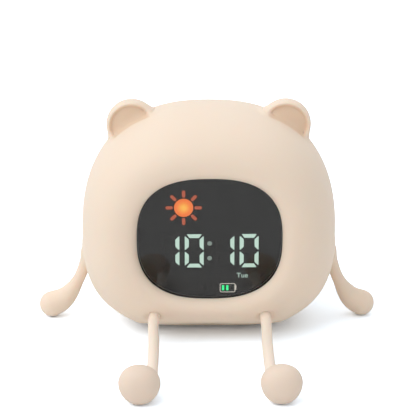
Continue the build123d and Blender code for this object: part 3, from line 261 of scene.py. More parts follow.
class ClockStage(bpy.types.PropertyGroup):
    """Floor, lamps and camera."""
    sky: number("Sky", "Strength of the even light all round", 0.57)
    key: number("Key", "Strength of the soft lamp at the upper left", 1.35)
    back: number("Back", "Strength of the soft lamp above and behind", 0.43)
    softness: angle("Softness", "Apparent size of the lamps", 60)
    floor_seen: FloatVectorProperty(name="Floor as seen", size=3, default=(1.52, 1.70, 1.89),
                                    description="How bright the floor looks, past its colour")
    show_floor: BoolProperty(name="Floor", description="Make the pale floor", default=True)
    distance: length("Distance", "Camera from the look point", 1080.0)
    elevation: angle("Elevation", "Camera above the floor's plane", 20)
    azimuth: angle("Azimuth", "Camera to the right of the middle", -0.7)
    look_height: length("Look height", "Height of the look point", 50.0)
    focal: number("Focal length", "Focal length for a 36 mm sensor", 199.04)
    shift_x: number("Shift across", "Camera shift across", -0.0019)
    shift_y: number("Shift up", "Camera shift up", 0.0272)


# ---- numbers and fields
def mix(first, second, share):
    return first + (second - first) * share


def ramp(low, high, value):
    """Smooth step from 0 at low to 1 at high."""
    share = np.clip((value - low) / (high - low), 0.0, 1.0)
    return share * share * (3 - 2 * share)


def full_turn(count):
    return np.linspace(0, 2 * math.pi, count, endpoint=False)


def super_share(across, up, half_width, half_height, power, sign=1):
    """How far a point lies out to a superellipse; with sign -1, the reach in a direction."""
    return (np.abs(across / half_width) ** power
            + np.abs(up / half_height) ** power) ** (sign / power)


def smooth_union(first, second, width):
    """Joined distance of two forms, with a fillet of that width between them."""
    share = np.clip((width - np.abs(first - second)) / np.maximum(width, 1e-9), 0.0, 1.0)
    return np.minimum(first, second) - share ** 2 * width / 4


def through(stations, count):
    """A smooth curve through stations, as evenly spread rows; each column is one value."""
    stations = np.array(stations, float)
    steps = np.linalg.norm(np.diff(stations[:, :3], axis=0), axis=1)
    at = np.concatenate(([0.0], np.cumsum(steps)))
    slopes = np.gradient(stations, at, axis=0)
    wanted = np.linspace(0.0, at[-1], count)
    index = np.clip(np.searchsorted(at, wanted, side="right") - 1, 0, len(at) - 2)
    run = (at[index + 1] - at[index])[:, None]
    t = ((wanted - at[index])[:, None]) / run
    return ((2 * t ** 3 - 3 * t ** 2 + 1) * stations[index]
            + (t ** 3 - 2 * t ** 2 + t) * run * slopes[index]
            + (3 * t ** 2 - 2 * t ** 3) * stations[index + 1]
            + (t ** 3 - t ** 2) * run * slopes[index + 1])


def slope_of(field, points, step=0.02 * MM):
    """Gradient of a field at points."""
    columns = []
    for shift in np.eye(3) * step:
        columns.append((field(points + shift) - field(points - shift)) / (2 * step))
    return np.stack(columns, axis=1)


def outward(field, points):
    slope = slope_of(field, points)
    return slope / np.maximum(np.linalg.norm(slope, axis=1, keepdims=True), 1e-9)


def distance(field):
    """The field scaled so that it reads about as a distance near its surface."""
    def scaled(points):
        size = np.linalg.norm(slope_of(field, points), axis=1)
        return field(points) / np.maximum(size, 0.2)
    return scaled


def drawn_in(body, y, half_depth):
    """How far the outline has drawn in to the window at this depth: sides, top, bottom."""
    reach = np.minimum(np.abs(y) / half_depth, 1.0)
    return [body.crest_share * (1 - (1 - reach ** power) ** (1 / power))
            for power in (body.side_roundness, body.side_roundness, body.bottom_roundness)]


def section(body, y, inset=0.0, shares=None):
    """Half width, top, bottom, widest height and the two exponents of the body at a depth."""
    if shares is None:
        shares = drawn_in(body, y, body.half_depth - inset)
    side, above, below = shares
    return (mix(body.half_width - inset, body.window_half_width, side),
            mix(body.height - inset, body.window_height + body.window_half_height, above),
            mix(inset - body.base_overdraw, body.window_height - body.window_half_height, below),
            mix(body.widest_height, body.window_height, side),
            mix(body.top_squareness, body.window_squareness, above),
            mix(body.bottom_squareness, body.window_squareness, below))


def body_field(body):
    """Field of the body form, negative inside."""
    def field(points):
        x, y, z = points.T
        depth = np.minimum(np.abs(y), 0.9999 * body.half_depth)
        half_width, top, bottom, widest, upper, lower = section(body, depth)
        rise = z - widest
        reach = np.where(rise >= 0, top - widest, widest - bottom)
        power = np.where(rise >= 0, upper, lower)
        share = super_share(x, rise, half_width, reach, power)
        return np.hypot(x, rise) * (1 - 1 / np.maximum(share, 1e-6))
    return distance(field)


def ear_centre(ears, side):
    return np.array((side * ears.spread, ears.setback, ears.height))


def ear_dish(ears, radial):
    """How far the ear's front is hollowed at a distance from its middle."""
    return ears.dish_depth * (1 - ramp(DISH_FLAT * ears.dish_radius, ears.dish_radius, radial))


def ear_field(ears, side):
    """Field of one ear, negative inside."""
    def field(points):
        x, y, z = (points - ear_centre(ears, side)).T
        radial = np.hypot(x, z)
        deep = np.where(y < 0, y - ear_dish(ears, radial), y)
        share = super_share(radial, deep, ears.radius, ears.half_thickness, ears.squareness)
        return np.hypot(radial, deep) * (1 - 1 / np.maximum(share, 1e-6))
    return distance(field)


def limb_field(stations):
    """Field of a limb given as rows of x, y, z and radius."""
    def field(points):
        nearest = np.full(len(points), 1.0)
        for x, y, z, radius in stations:
            away = np.linalg.norm(points - (x, y, z), axis=1) - radius
            nearest = np.minimum(nearest, away)
        return nearest
    return field


def settled(points, own, other, width, reach=None):
    """Points of one form moved out to the fillet that it shares with another form."""
    moved = points.copy()
    away = other(points)
    near = np.abs(away) < SETTLE_REACH * width
    part, part_away = points[near], away[near]
    widths = np.full(len(part), width) if reach is None else width * reach(part)
    facing = outward(own, part)
    lifted = part.copy()
    for _ in range(SETTLE_STEPS):
        field = smooth_union(own(lifted), other(lifted), widths)
        lifted -= facing * (SETTLE_PACE * np.minimum(field, 0.0))[:, None]
        rise = np.linalg.norm(lifted - part, axis=1, keepdims=True)
        lifted = part + (lifted - part) * np.minimum(1.0, width / np.maximum(rise, 1e-9))
    keep = ramp(-0.6 * MM, width / 4, part_away)
    moved[near] = part + (lifted - part) * keep[:, None]
    return moved


# ---- meshes
def grid_faces(rows, columns, closed_rows=False):
    """Quads of a grid whose columns run round; its rows may run round too."""
    faces = []
    for row in range(rows if closed_rows else rows - 1):
        after = (row + 1) % rows
        for column in range(columns):
            beside = (column + 1) % columns
            faces.append((row * columns + column, row * columns + beside,
                          after * columns + beside, after * columns + column))
    return faces


def capped_faces(rows, columns):
    """Faces of a tube of rings whose two ends each close in one more point."""
    faces = grid_faces(rows, columns)
    first, last = rows * columns, rows * columns + 1
    start = (rows - 1) * columns
    for column in range(columns):
        beside = (column + 1) % columns
        faces += [(beside, column, first), (start + column, start + beside, last)]
    return faces


def spun(radial, along, around):
    """Points of rings round the Y axis, from their radii and places along it."""
    spin = full_turn(around)
    return np.stack((radial[:, None] * np.cos(spin), np.repeat(along[:, None], around, axis=1),
                     radial[:, None] * np.sin(spin)), axis=2).reshape(-1, 3)


def linked(name, data):
    """A new object in the scene."""
    piece = bpy.data.objects.new(name, data)
    bpy.context.scene.collection.objects.link(piece)
    return piece


def evaluated_mesh(piece):
    return bpy.data.meshes.new_from_object(
        piece.evaluated_get(bpy.context.evaluated_depsgraph_get()))


def outward_faces(mesh):
    work = bmesh.new()
    work.from_mesh(mesh)
    bmesh.ops.recalc_face_normals(work, faces=work.faces)
    work.to_mesh(mesh)
    work.free()


def finish_mesh(mesh, material, smooth=True):
    mesh.materials.clear()
    mesh.materials.append(material)
    if smooth:
        mesh.shade_smooth()
    else:
        mesh.shade_flat()
    mesh.set_sharp_from_angle(angle=CRISP_ANGLE)


def make_object(name, points, faces, material, smooth=True):
    """A closed mesh object with outward faces at the origin."""
    mesh = bpy.data.meshes.new(name)
    mesh.from_pydata([tuple(point) for point in points], [], faces)
    outward_faces(mesh)
    finish_mesh(mesh, material, smooth)
    return linked(name, mesh)


def united(piece, other, folded=False):
    """Joins other on to piece as one closed surface; folded where a fillet may cross itself."""
    join = piece.modifiers.new("join", "BOOLEAN")
    join.operation = "UNION"
    join.solver = "EXACT"
    join.object = other
    join.use_self = folded
    mesh = evaluated_mesh(piece)
    piece.modifiers.remove(join)
    old = piece.data
    if len(mesh.vertices) < 0.9 * len(old.vertices):
        raise RuntimeError("the join of " + other.name + " lost a part of " + piece.name)
    mesh.name = piece.name
    piece.data = mesh
    bpy.data.meshes.remove(old)
    bpy.data.objects.remove(other)
    finish_mesh(mesh, mesh.materials[0])


def sweep_rings(stations, around):
    """Rings of a limb along its stations; the X axis is kept in the plane of each ring."""
    centres, radii = stations[:, :3], stations[:, 3]
    heading = np.gradient(centres, axis=0)
    heading /= np.linalg.norm(heading, axis=1, keepdims=True)
    across = np.array((1.0, 0.0, 0.0))
    side = across - heading * (heading @ across)[:, None]
    side /= np.linalg.norm(side, axis=1, keepdims=True)
    up = np.cross(heading, side)
    turn = full_turn(around)[None, :, None]
    spokes = side[:, None, :] * np.cos(turn) + up[:, None, :] * np.sin(turn)
    return centres[:, None, :] + radii[:, None, None] * spokes


def with_domes(stations):
    """Stations with round ends added past the first and the last one."""
    rows = [np.array(row) for row in stations]
    for end, inner in ((0, 1), (-1, -2)):
        centre, radius = rows[end][:3], rows[end][3]
        heading = centre - rows[inner][:3]
        heading = heading / np.linalg.norm(heading)
        added = [np.append(centre + heading * radius * math.sin(turn), radius * math.cos(turn))
                 for turn in np.radians(DOME_ANGLES)]
        rows = added[::-1] + rows if end == 0 else rows + added
    return np.array(rows)


def limb_mesh(name, stations, around, material, move):
    """A limb as a closed tube; move changes its points before the mesh is made."""
    rings = sweep_rings(stations, around).reshape(-1, 3)
    points = move(np.vstack((rings, stations[:1, :3], stations[-1:, :3])))
    return make_object(name, points, capped_faces(len(stations), around), material)


def paint_light_and_shade(piece, plain, painted_tones):
    """Keeps at each point how far painted shade and painted light move its colour from plain; each
    tone pairs a colour and a share.
    """
    mesh = piece.data
    points = np.empty(len(mesh.vertices) * 3)
    mesh.vertices.foreach_get("co", points)
    points = points.reshape(-1, 3)
    painted_shift = np.zeros(points.shape)
    for tone, share in painted_tones:
        painted_shift += share(points)[:, None] * (np.array(tone) / np.array(plain) - 1)
    # The tint attribute holds only painted shade and painted light.
    layer = mesh.attributes.new("tint", "FLOAT_VECTOR", "POINT")
    layer.data.foreach_set("vector", painted_shift.ravel())


# ---- node helpers
def feed(tree, node, inputs):
    """Sets or links the inputs of a node."""
    for key, value in inputs.items():
        if isinstance(value, bpy.types.NodeSocket):
            tree.links.new(value, node.inputs[key])
        else:
            node.inputs[key].default_value = value


def add_node(tree, kind, inputs=None, **settings):
    """A node with its settings, and its inputs set or linked."""
    node = tree.nodes.new(kind)
    for key, value in settings.items():
        setattr(node, key, value)
    feed(tree, node, inputs or {})
    return node


def math_node(tree, operation, *values):
    node = add_node(tree, "ShaderNodeMath", dict(enumerate(values)), operation=operation)
    return node.outputs[0]


def vector_node(tree, operation, *values):
    node = add_node(tree, "ShaderNodeVectorMath", dict(enumerate(values)), operation=operation)
    return node.outputs["Value" if operation in ("LENGTH", "DISTANCE") else "Vector"]


def split(tree, vector):
    """The X, Y and Z of a vector, by name."""
    return add_node(tree, "ShaderNodeSeparateXYZ", {0: vector}).outputs


def joined(tree, **parts):
    """A vector from its X, Y and Z."""
    return add_node(tree, "ShaderNodeCombineXYZ", parts).outputs[0]


def spread(tree, value, low, high):
    """value from 0..1 mapped to low..high."""
    node = add_node(tree, "ShaderNodeMapRange", {"Value": value, "To Min": low, "To Max": high})
    return node.outputs["Result"]


def noise(tree, place, scale, detail=2.0):
    node = add_node(tree, "ShaderNodeTexNoise",
                    {"Vector": place, "Scale": scale, "Detail": detail})
    return node.outputs[0]


def toned(tree, factor, first, second):
    """A colour between two."""
    node = add_node(tree, "ShaderNodeMix", data_type="RGBA")
    feed(tree, node, {"Factor": factor, "A": first, "B": second})
    return node.outputs["Result"]


def bumped(tree, height, strength, depth):
    node = add_node(tree, "ShaderNodeBump",
                    {"Height": height, "Strength": strength, "Distance": depth})
    return node.outputs[0]


def grown_tree(name, inputs):
    """An empty geometry tree with named inputs; returns it, its inputs and its output node."""
    tree = bpy.data.node_groups.new(name, "GeometryNodeTree")
    for label, kind in inputs:
        tree.interface.new_socket(label, in_out="INPUT", socket_type="NodeSocket" + kind)
    tree.interface.new_socket("Geometry", in_out="OUTPUT", socket_type="NodeSocketGeometry")
    return tree, tree.nodes.new("NodeGroupInput").outputs, tree.nodes.new("NodeGroupOutput")


def end_tree(tree, output, geometry, material):
    """Ends a tree: instances made real, then one material."""
    real = add_node(tree, "GeometryNodeRealizeInstances", {"Geometry": geometry})
    painted = add_node(tree, "GeometryNodeSetMaterial",
                       {"Geometry": real.outputs[0], "Material": material})
    tree.links.new(painted.outputs[0], output.inputs[0])


def grown(name, tree, values, material):
    """A plain mesh object made by a geometry tree from named values."""
    maker = linked(name, bpy.data.meshes.new(name + "_seed"))
    modifier = maker.modifiers.new("grow", "NODES")
    modifier.node_group = tree
    for item in tree.interface.items_tree:
        if item.in_out == "INPUT" and item.name in values:
            modifier[item.identifier] = values[item.name]
    mesh = evaluated_mesh(maker)
    mesh.name = name
    maker.modifiers.remove(modifier)
    maker.data = mesh
    finish_mesh(mesh, material)
    outward_faces(mesh)
    return maker


# ---- finishes
def new_material(name):
    """A node material with its surface shader and object coordinates."""
    material = bpy.data.materials.new(name)
    material.use_nodes = True
    tree = material.node_tree
    place = tree.nodes.new("ShaderNodeTexCoord").outputs["Object"]
    return material, tree, tree.nodes["Principled BSDF"], place


def shaded(base, share):
    return tuple(min(channel * share, 1.0) for channel in base) + (1.0,)


def varied(tree, factor, base, variation):
    """base, a little darker or lighter by factor."""
    return toned(tree, factor, shaded(base, 1 - variation), shaded(base, 1 + variation))


def grained(name, base, rough, metal=0.0, scale=900.0, variation=0.06, bump=0.05, gloss=0.5):
    """A finish with fine grain: colour, roughness and height all vary a little."""
    material, tree, shader, place = new_material(name)
    grain = noise(tree, place, scale, 4.0)
    feed(tree, shader, {
        "Base Color": varied(tree, noise(tree, place, scale / 14, 3.0), base, variation),
        "Roughness": spread(tree, grain, rough * 0.88, min(rough * 1.12, 1.0)),
        "Normal": bumped(tree, grain, bump, 0.1 * MM),
        "Metallic": metal, "Specular IOR Level": gloss})
    return material


def silicone_finish(colours):
    """Soft matte silicone: some light comes back out of it, over a very fine moulded grain."""
    _, tree, shader, place = new_material("silicone")
    grain = noise(tree, place, 2600.0, 3.0)
    tone = varied(tree, noise(tree, place, 26.0), colours.silicone, 0.015)
    # The tint attribute moves the base colour by painted shade (ear hollows, feet) and painted
    # light (legs).
    painted_shift = add_node(tree, "ShaderNodeAttribute", attribute_name="tint").outputs["Vector"]
    feed(tree, shader, {
        "Base Color": vector_node(tree, "MULTIPLY_ADD", tone, painted_shift, tone),
        "Roughness": spread(tree, grain, 0.50, 0.62),
        "Normal": bumped(tree, grain, 0.05, 0.05 * MM), "Specular IOR Level": 0.3,
        "Subsurface Weight": 0.35, "Subsurface Radius": tuple(colours.silicone_depth),
        "Subsurface Scale": 2.2 * MM, "Sheen Weight": 0.08, "Sheen Roughness": 0.5})


def lens_finish(colours):
    """Smoked acrylic, polished, with a faintly uneven tint."""
    _, tree, shader, place = new_material("smoked_lens")
    feed(tree, shader, {
        "Base Color": varied(tree, noise(tree, place, 60.0, 4.0), colours.lens, 0.02),
        "Roughness": 0.0, "IOR": 1.49, "Transmission Weight": 1.0})


def lit_finish(name, glow, strength, core=None, centre=None, reach=1.0, shape=None):
    """A lit light guide: its glow varies a little or changes from core to rim, in a shape."""
    material, tree, shader, place = new_material(name)
    if core is None:
        lit = varied(tree, noise(tree, place, 700.0), glow, 0.12)
    else:
        away = vector_node(tree, "DISTANCE", place, centre)
        share = add_node(tree, "ShaderNodeMapRange",
                         {"Value": away, "From Min": 0.0, "From Max": 0.85 * reach},
                         interpolation_type="SMOOTHSTEP")
        lit = toned(tree, share.outputs["Result"], shaded(core, 1.0), shaded(glow, 1.0))
    body = GUIDE_GREY
    if shape is not None:
        out = math_node(tree, "SUBTRACT", 1.0, shape(tree, place))
        lit = toned(tree, out, lit, UNLIT)
        body = toned(tree, out, GUIDE_GREY, GUIDE_DARK)
    feed(tree, shader, {"Base Color": body, "Emission Color": lit,
                        "Emission Strength": strength, "Roughness": 0.45})
    return material


def paint(node, material):
    """Gives a carried-over node its finish."""
    if node not in NODES:
        raise RuntimeError("the frame has no node named " + node)
    mesh = NODES[node].data
    mesh.materials.clear()
    mesh.materials.append(material)


# Name, colour, roughness, what departs from the usual grain, and the nodes that have it.
PLANS = (
    ("milky_shell", (0.82, 0.82, 0.78), 0.42, {"scale": 700.0}, ("front_shell", "rear_shell")),
    ("screw_steel", (0.52, 0.52, 0.53), 0.32, {"metal": 1.0, "scale": 3000.0},
     ("shell_screws", "board_screws", "rear_cover_screws")),
    ("socket_steel", (0.58, 0.58, 0.60), 0.28, {"metal": 1.0, "scale": 1800.0},
     ("usb_socket", "slide_switch", "speaker_magnet")),
    ("black_foam", (0.02, 0.02, 0.02), 0.9, {"scale": 4000.0, "bump": 0.5},
     ("lens_gasket", "battery_pad", "speaker_gasket")),
    ("black_plastic", (0.014, 0.014, 0.014), 0.6, {"scale": 1800.0},
     ("switch_housings", "slide_lever", "speaker_frame")),
    ("display_black", (0.005, 0.005, 0.005), 0.9, {"scale": 1800.0, "gloss": 0.05},
     ("reflector_block",)),
    ("dark_epoxy", (0.006, 0.006, 0.006), 0.8, {"scale": 1500.0, "gloss": 0.05},
     ("unlit_digit_guides", "weekday_guide")),
    ("plunger_plastic", (0.03, 0.03, 0.03), 0.4, {"scale": 1800.0},
     tuple("plunger_" + name for name in BUTTONS)),
    ("circuit_board", (0.02, 0.11, 0.05), 0.35, {"scale": 500.0, "variation": 0.25},
     ("display_board", "light_board", "main_board")),
    ("led_package", (0.85, 0.80, 0.55), 0.3, {"scale": 1500.0},
     ("display_leds", "night_light_leds")),
    ("chip_package", (0.02, 0.02, 0.022), 0.55, {"scale": 2600.0, "bump": 0.2},
     ("controller_chips",)),
    ("connector_plastic", (0.78, 0.75, 0.66), 0.45, {}, ("board_connectors",)),
    ("copper", (0.86, 0.42, 0.22), 0.3, {"metal": 1.0, "scale": 1200.0}, ("touch_pad",)),
    ("battery_foil", (0.55, 0.56, 0.58), 0.38,
     {"metal": 1.0, "scale": 350.0, "variation": 0.1, "bump": 0.3}, ("battery_cell",)),
    ("speaker_paper", (0.03, 0.03, 0.03), 0.85, {"scale": 3500.0, "bump": 0.5},
     ("speaker_cone",)),
    ("red_lead", (0.45, 0.012, 0.01), 0.4, {}, ("battery_lead", "speaker_lead")),
    ("white_lead", (0.72, 0.72, 0.70), 0.4, {}, ("touch_lead", "light_lead", "display_lead")),
)


class CLOCK_OT_finishes(bpy.types.Operator):
    """Makes the shared finishes and gives the inner parts theirs"""
    bl_idname = "clock.finishes"
    bl_label = "Finishes"

    def execute(self, context):
        colours = context.scene.clock_colours
        silicone_finish(colours)
        lens_finish(colours)
        cover = ("cover_plastic", tuple(colours.cover), 0.48,
                 {"scale": 2400.0, "variation": 0.02, "bump": 0.16},
                 ("rear_cover", "power_slider", *("button_" + name for name in BUTTONS)))
        for name, base, rough, settings, nodes in (*PLANS, cover):
            material = grained(name, base, rough, **settings)
            for node in nodes:
                paint(node, material)
        return {"FINISHED"}


# ---- skin
def skin_rings(body):
    """Depth, shares and inset of each ring: front lip, outside, rear lip, then the inside."""
    lip = [(body.half_depth - body.lip_depth * (1 - math.cos(turn)),
            mix(body.crest_share, 1.0, math.sin(turn)))
           for turn in np.radians(np.linspace(0, 90, LIP_RINGS + 1))[1:]]
    inner_depth = body.half_depth - body.wall
    limit = math.asin((body.half_depth - body.lip_depth) / inner_depth)
    rings = [(-depth, (share,) * 3, 0.0) for depth, share in reversed(lip)]
    rings += [(body.half_depth * math.sin(turn), None, 0.0)
              for turn in np.radians(np.linspace(-90, 90, OUTER_RINGS))]
    rings += [(depth, (share,) * 3, 0.0) for depth, share in lip]
    rings += [(inner_depth * math.sin(turn), None, body.wall)
              for turn in np.linspace(limit, -limit, INNER_RINGS)]
    return rings


def skin_points(body, rings):
    turn = full_turn(SKIN_AROUND) - math.pi / 2
    across, up = np.cos(turn), np.sin(turn)
    points = []
    for depth, shares, inset in rings:
        half_width, top, bottom, widest, upper, lower = section(body, depth, inset, shares)
        reach = np.where(up >= 0, top - widest, widest - bottom)
        power = np.where(up >= 0, upper, lower)
        radius = super_share(across, up, half_width, reach, power, -1)
        points.append(np.stack((radius * across, np.full(SKIN_AROUND, depth),
                                widest + radius * up), axis=1))
    return np.array(points).reshape(-1, 3)


def flat_base(height, softness):
    """Heights with the flat base let in softly."""
    share = np.clip((softness - np.abs(height)) / softness, 0.0, 1.0)
    return np.maximum(height, 0.0) + share ** 2 * softness / 4


def raised_belly(points, body):
    """Points of the underside lifted between the legs, so that the base ends in a straight edge."""
    x, y, z = points.T
    share = np.abs(x) / body.belly_half_width
    past = np.exp(-(np.maximum(share - 1.2, 0.0) / 0.3) ** 2)
    across = np.where(share > 1, np.maximum(1 - share ** 2, -0.45) * past, 1 - share ** 2)
    along = np.exp(-((np.abs(y) - BELLY_AT) / BELLY_RUN) ** 2)
    low = 1 - ramp(*BELLY_FADE, z)
    lifted = points.copy()
    lifted[:, 2] += body.belly_lift * across * along * low
    return lifted


def shoulder_reach(points):
    """1 at the top of a shoulder, fading out below it, where arm and body part."""
    top = HINGES["shoulder_left"].z
    return np.maximum(ramp(top - 5 * MM, top + 5 * MM, points[:, 2]), 0.02)


def dimpled(points, form, limbs, side):
    """Points drawn in a little round the place where a leg leaves the body."""
    root, join, _ = leg_line(limbs, side)
    heading = (join - root) / np.linalg.norm(join - root)
    offset = points - root
    radial = np.linalg.norm(offset - np.outer(offset @ heading, heading), axis=1)
    near = (radial < limbs.dimple_radius) & (np.abs(offset @ heading) < 9 * MM)
    fade = ramp(0.8 * limbs.leg_radius, limbs.dimple_radius, radial[near])
    depth = limbs.dimple_depth * (1 - fade)
    moved = points.copy()
    moved[near] -= outward(form, points[near]) * depth[:, None]
    return moved


def ear_shade(ears, points):
    """Share of painted shade: 1 in the hollow of an ear, fading out to its rim."""
    shade = np.zeros(len(points))
    face = -ears.half_thickness
    for side in SIDES.values():
        x, y, z = (points - ear_centre(ears, side)).T
        rim = ramp(*(share * ears.dish_radius for share in DISH_SHADE_FADE), np.hypot(x, z))
        front = ramp(face - 1.6 * MM, face - 0.1 * MM, y) * (1 - ramp(-2 * MM, 0.0, y))
        shade = np.maximum(shade, (1 - rim) * front)
    return shade


def ear_piece(ears, side, form, material):
    """One ear as a closed form, filleted toward the body."""
    turn = np.linspace(0, math.pi, EAR_RINGS)[1:-1]
    power = 2 / ears.squareness
    radial = ears.radius * np.sin(turn) ** power
    deep = -ears.half_thickness * np.sign(np.cos(turn)) * np.abs(np.cos(turn)) ** power
    deep += np.where(deep < 0, ear_dish(ears, radial), 0.0)
    ends = ((0, -ears.half_thickness + ears.dish_depth, 0), (0, ears.half_thickness, 0))
    points = np.vstack((spun(radial, deep, EAR_AROUND), ends)) + ear_centre(ears, side)
    points = settled(points, ear_field(ears, side), form, ears.blend)
    return make_object("ear", points, capped_faces(len(turn), EAR_AROUND), material)


class CLOCK_OT_skin(bpy.types.Operator):
    """Builds the soft skin with its ears, shoulders and rolled lips as one closed moulding"""
    bl_idname = "clock.skin"
    bl_label = "Silicone skin"

    def execute(self, context):
        scene = context.scene
        body, ears, limbs = scene.clock_body, scene.clock_ears, scene.clock_limbs
        colours = scene.clock_colours
        material = bpy.data.materials["silicone"]
        form = body_field(body)
        rings = skin_rings(body)
        points = skin_points(body, rings)
        lip, outside = LIP_RINGS * SKIN_AROUND, (2 * LIP_RINGS + OUTER_RINGS) * SKIN_AROUND
        outer = np.zeros(len(points), bool)
        outer[lip:outside - lip] = True
        outer &= np.abs(points[:, 1]) < 0.985 * body.half_depth
        skin = points[outer]
        for side in SIDES.values():
            skin = settled(skin, form, ear_field(ears, side), ears.blend)
            skin = settled(skin, form, limb_field(arm_stations(limbs, side)),
                           limbs.arm_blend, shoulder_reach)
            skin = dimpled(skin, form, limbs, side)
        points[outer] = raised_belly(skin, body)
        points[:outside, 2] = flat_base(points[:outside, 2], body.base_softness)
        faces = grid_faces(len(rings), SKIN_AROUND, True)
        piece = make_object("silicone_skin_moulding", points, faces, material)
        for side in SIDES.values():
            united(piece, ear_piece(ears, side, form, material), folded=True)
        # Painted shade in the hollow of each ear, carried by the tint attribute.
        paint_light_and_shade(piece, colours.silicone, [(colours.ear_painted_shade, partial(ear_shade, ears))])
        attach(piece, "housing")
        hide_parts("silicone_skin")
        return {"FINISHED"}


# ---- limbs
def arm_stations(limbs, side):
    """Rows of x, y, z, radius from inside the shoulder down and out to the hand."""
    hinge = HINGES["shoulder_left"]
    x, y, z = abs(hinge.x), hinge.y, hinge.z
    out = (limbs.reach_left if side < 0 else limbs.reach_right) - x
    drop = z - limbs.hand_radius
    scale = limbs.hand_radius / ARM_PROFILE[-1][2]
    return through([(side * (x + out * across), y, z - drop * down, radius * scale)
                    for across, down, radius in ARM_PROFILE], ARM_RINGS)


def leg_line(limbs, side):
    """Root, join point at the foot and foot centre of a leg."""
    name = "left" if side < 0 else "right"
    low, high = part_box("leg_" + name)
    root = np.array(HINGES["hip_" + name])
    foot_x = low.x + limbs.foot_radius if side < 0 else high.x - limbs.foot_radius
    foot = np.array((foot_x, -limbs.foot_forward, limbs.foot_radius))
    join = np.array((foot[0] - side * LEG_JOIN_ASIDE[side],
                     foot[1] + limbs.foot_half_depth / 2, limbs.leg_join_height))
    return root, join, foot


def leg_stations(limbs, side, inner, root, join):
    """Rows of x, y, z, radius from the plug held in the body to the foot."""
    radius, run = limbs.leg_radius, join - root
    bow = np.array((-side * limbs.leg_bow, 0.0, 0.0))
    rows = [(*mix(inner, root, share), radius * wide) for share, wide in LEG_PLUG]
    rows += [(*root, radius), (*(root + run * 0.12), radius)]
    rows += [(*(root + run * share + bow * math.sin(math.pi * share)),
              radius * mix(1.0, 1.07, share)) for share in LEG_BOW_SHARES]
    return with_domes(through(rows, LEG_RINGS))


def foot_field(limbs, foot):
    """Field of a foot: a soft pad, a little narrower toward the floor."""
    size = np.array((limbs.foot_half_width, limbs.foot_half_depth, limbs.foot_radius))

    def field(points):
        share = (points - foot) / size
        share[:, 0] /= 1 - limbs.foot_narrowing * (1 - ramp(-1.0, 0.3, share[:, 2]))
        far = (np.abs(share) ** FOOT_POWER).sum(axis=1) ** (1 / FOOT_POWER)
        return (far - 1) * size.min()
    return distance(field)


def foot_piece(limbs, foot, pad, leg_field, material):
    """One foot as a closed pad, filleted toward its leg."""
    turn = np.linspace(0, math.pi, FOOT_RINGS)[1:-1]
    directions = np.vstack((spun(np.sin(turn), np.cos(turn), FOOT_AROUND),
                            ((0, 1, 0), (0, -1, 0))))
    points = foot + directions * limbs.foot_half_depth
    for _ in range(FOOT_STEPS):
        points -= directions * pad(points)[:, None]
    points = settled(points, pad, leg_field, limbs.foot_blend)
    return make_object("foot", points, capped_faces(len(turn), FOOT_AROUND), material)


class CLOCK_OT_arms(bpy.types.Operator):
    """Builds both arms, each flowing out of the shoulder down to its hand"""
    bl_idname = "clock.arms"
    bl_label = "Arms"

    def execute(self, context):
        limbs = context.scene.clock_limbs
        form = body_field(context.scene.clock_body)
        material = bpy.data.materials["silicone"]
        for name, side in SIDES.items():
            stations = arm_stations(limbs, side)
            move = partial(settled, own=limb_field(stations), other=form,
                           width=limbs.arm_blend, reach=shoulder_reach)
            piece = limb_mesh("arm_" + name + "_moulding", with_domes(stations), ARM_AROUND,
                              material, move)
            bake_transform(piece)
            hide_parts("arm_" + name)
        return {"FINISHED"}


class CLOCK_OT_legs(bpy.types.Operator):
    """Builds both legs with their feet and the roots that the body holds"""
    bl_idname = "clock.legs"
    bl_label = "Legs"

    def execute(self, context):
        limbs, colours = context.scene.clock_limbs, context.scene.clock_colours
        form = body_field(context.scene.clock_body)
        material = bpy.data.materials["silicone"]
        for name, side in SIDES.items():
            root, join, foot = leg_line(limbs, side)
            inner = root - outward(form, root[None])[0] * limbs.plug_depth
            stations = leg_stations(limbs, side, inner, root, join)
            field, pad = limb_field(stations), foot_field(limbs, foot)
            move = partial(settled, own=field, other=pad, width=limbs.foot_blend)
            piece = limb_mesh("leg_" + name + "_moulding", stations, LEG_AROUND, material, move)
            united(piece, foot_piece(limbs, foot, pad, field, material))
            # Painted shade darkens each foot and painted light brightens each leg, over the one
            # silicone colour.
            paint_light_and_shade(piece, colours.silicone, [
                (colours.foot_painted_shade, lambda points: 1 - ramp(0.0, PAINTED_PAD_FADE, pad(points))),
                (colours.leg_painted_light, lambda points: ramp(0.0, PAINTED_PAD_FADE, pad(points)))])
            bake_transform(piece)
            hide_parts("leg_" + name, "leg_plug_" + name)
        return {"FINISHED"}


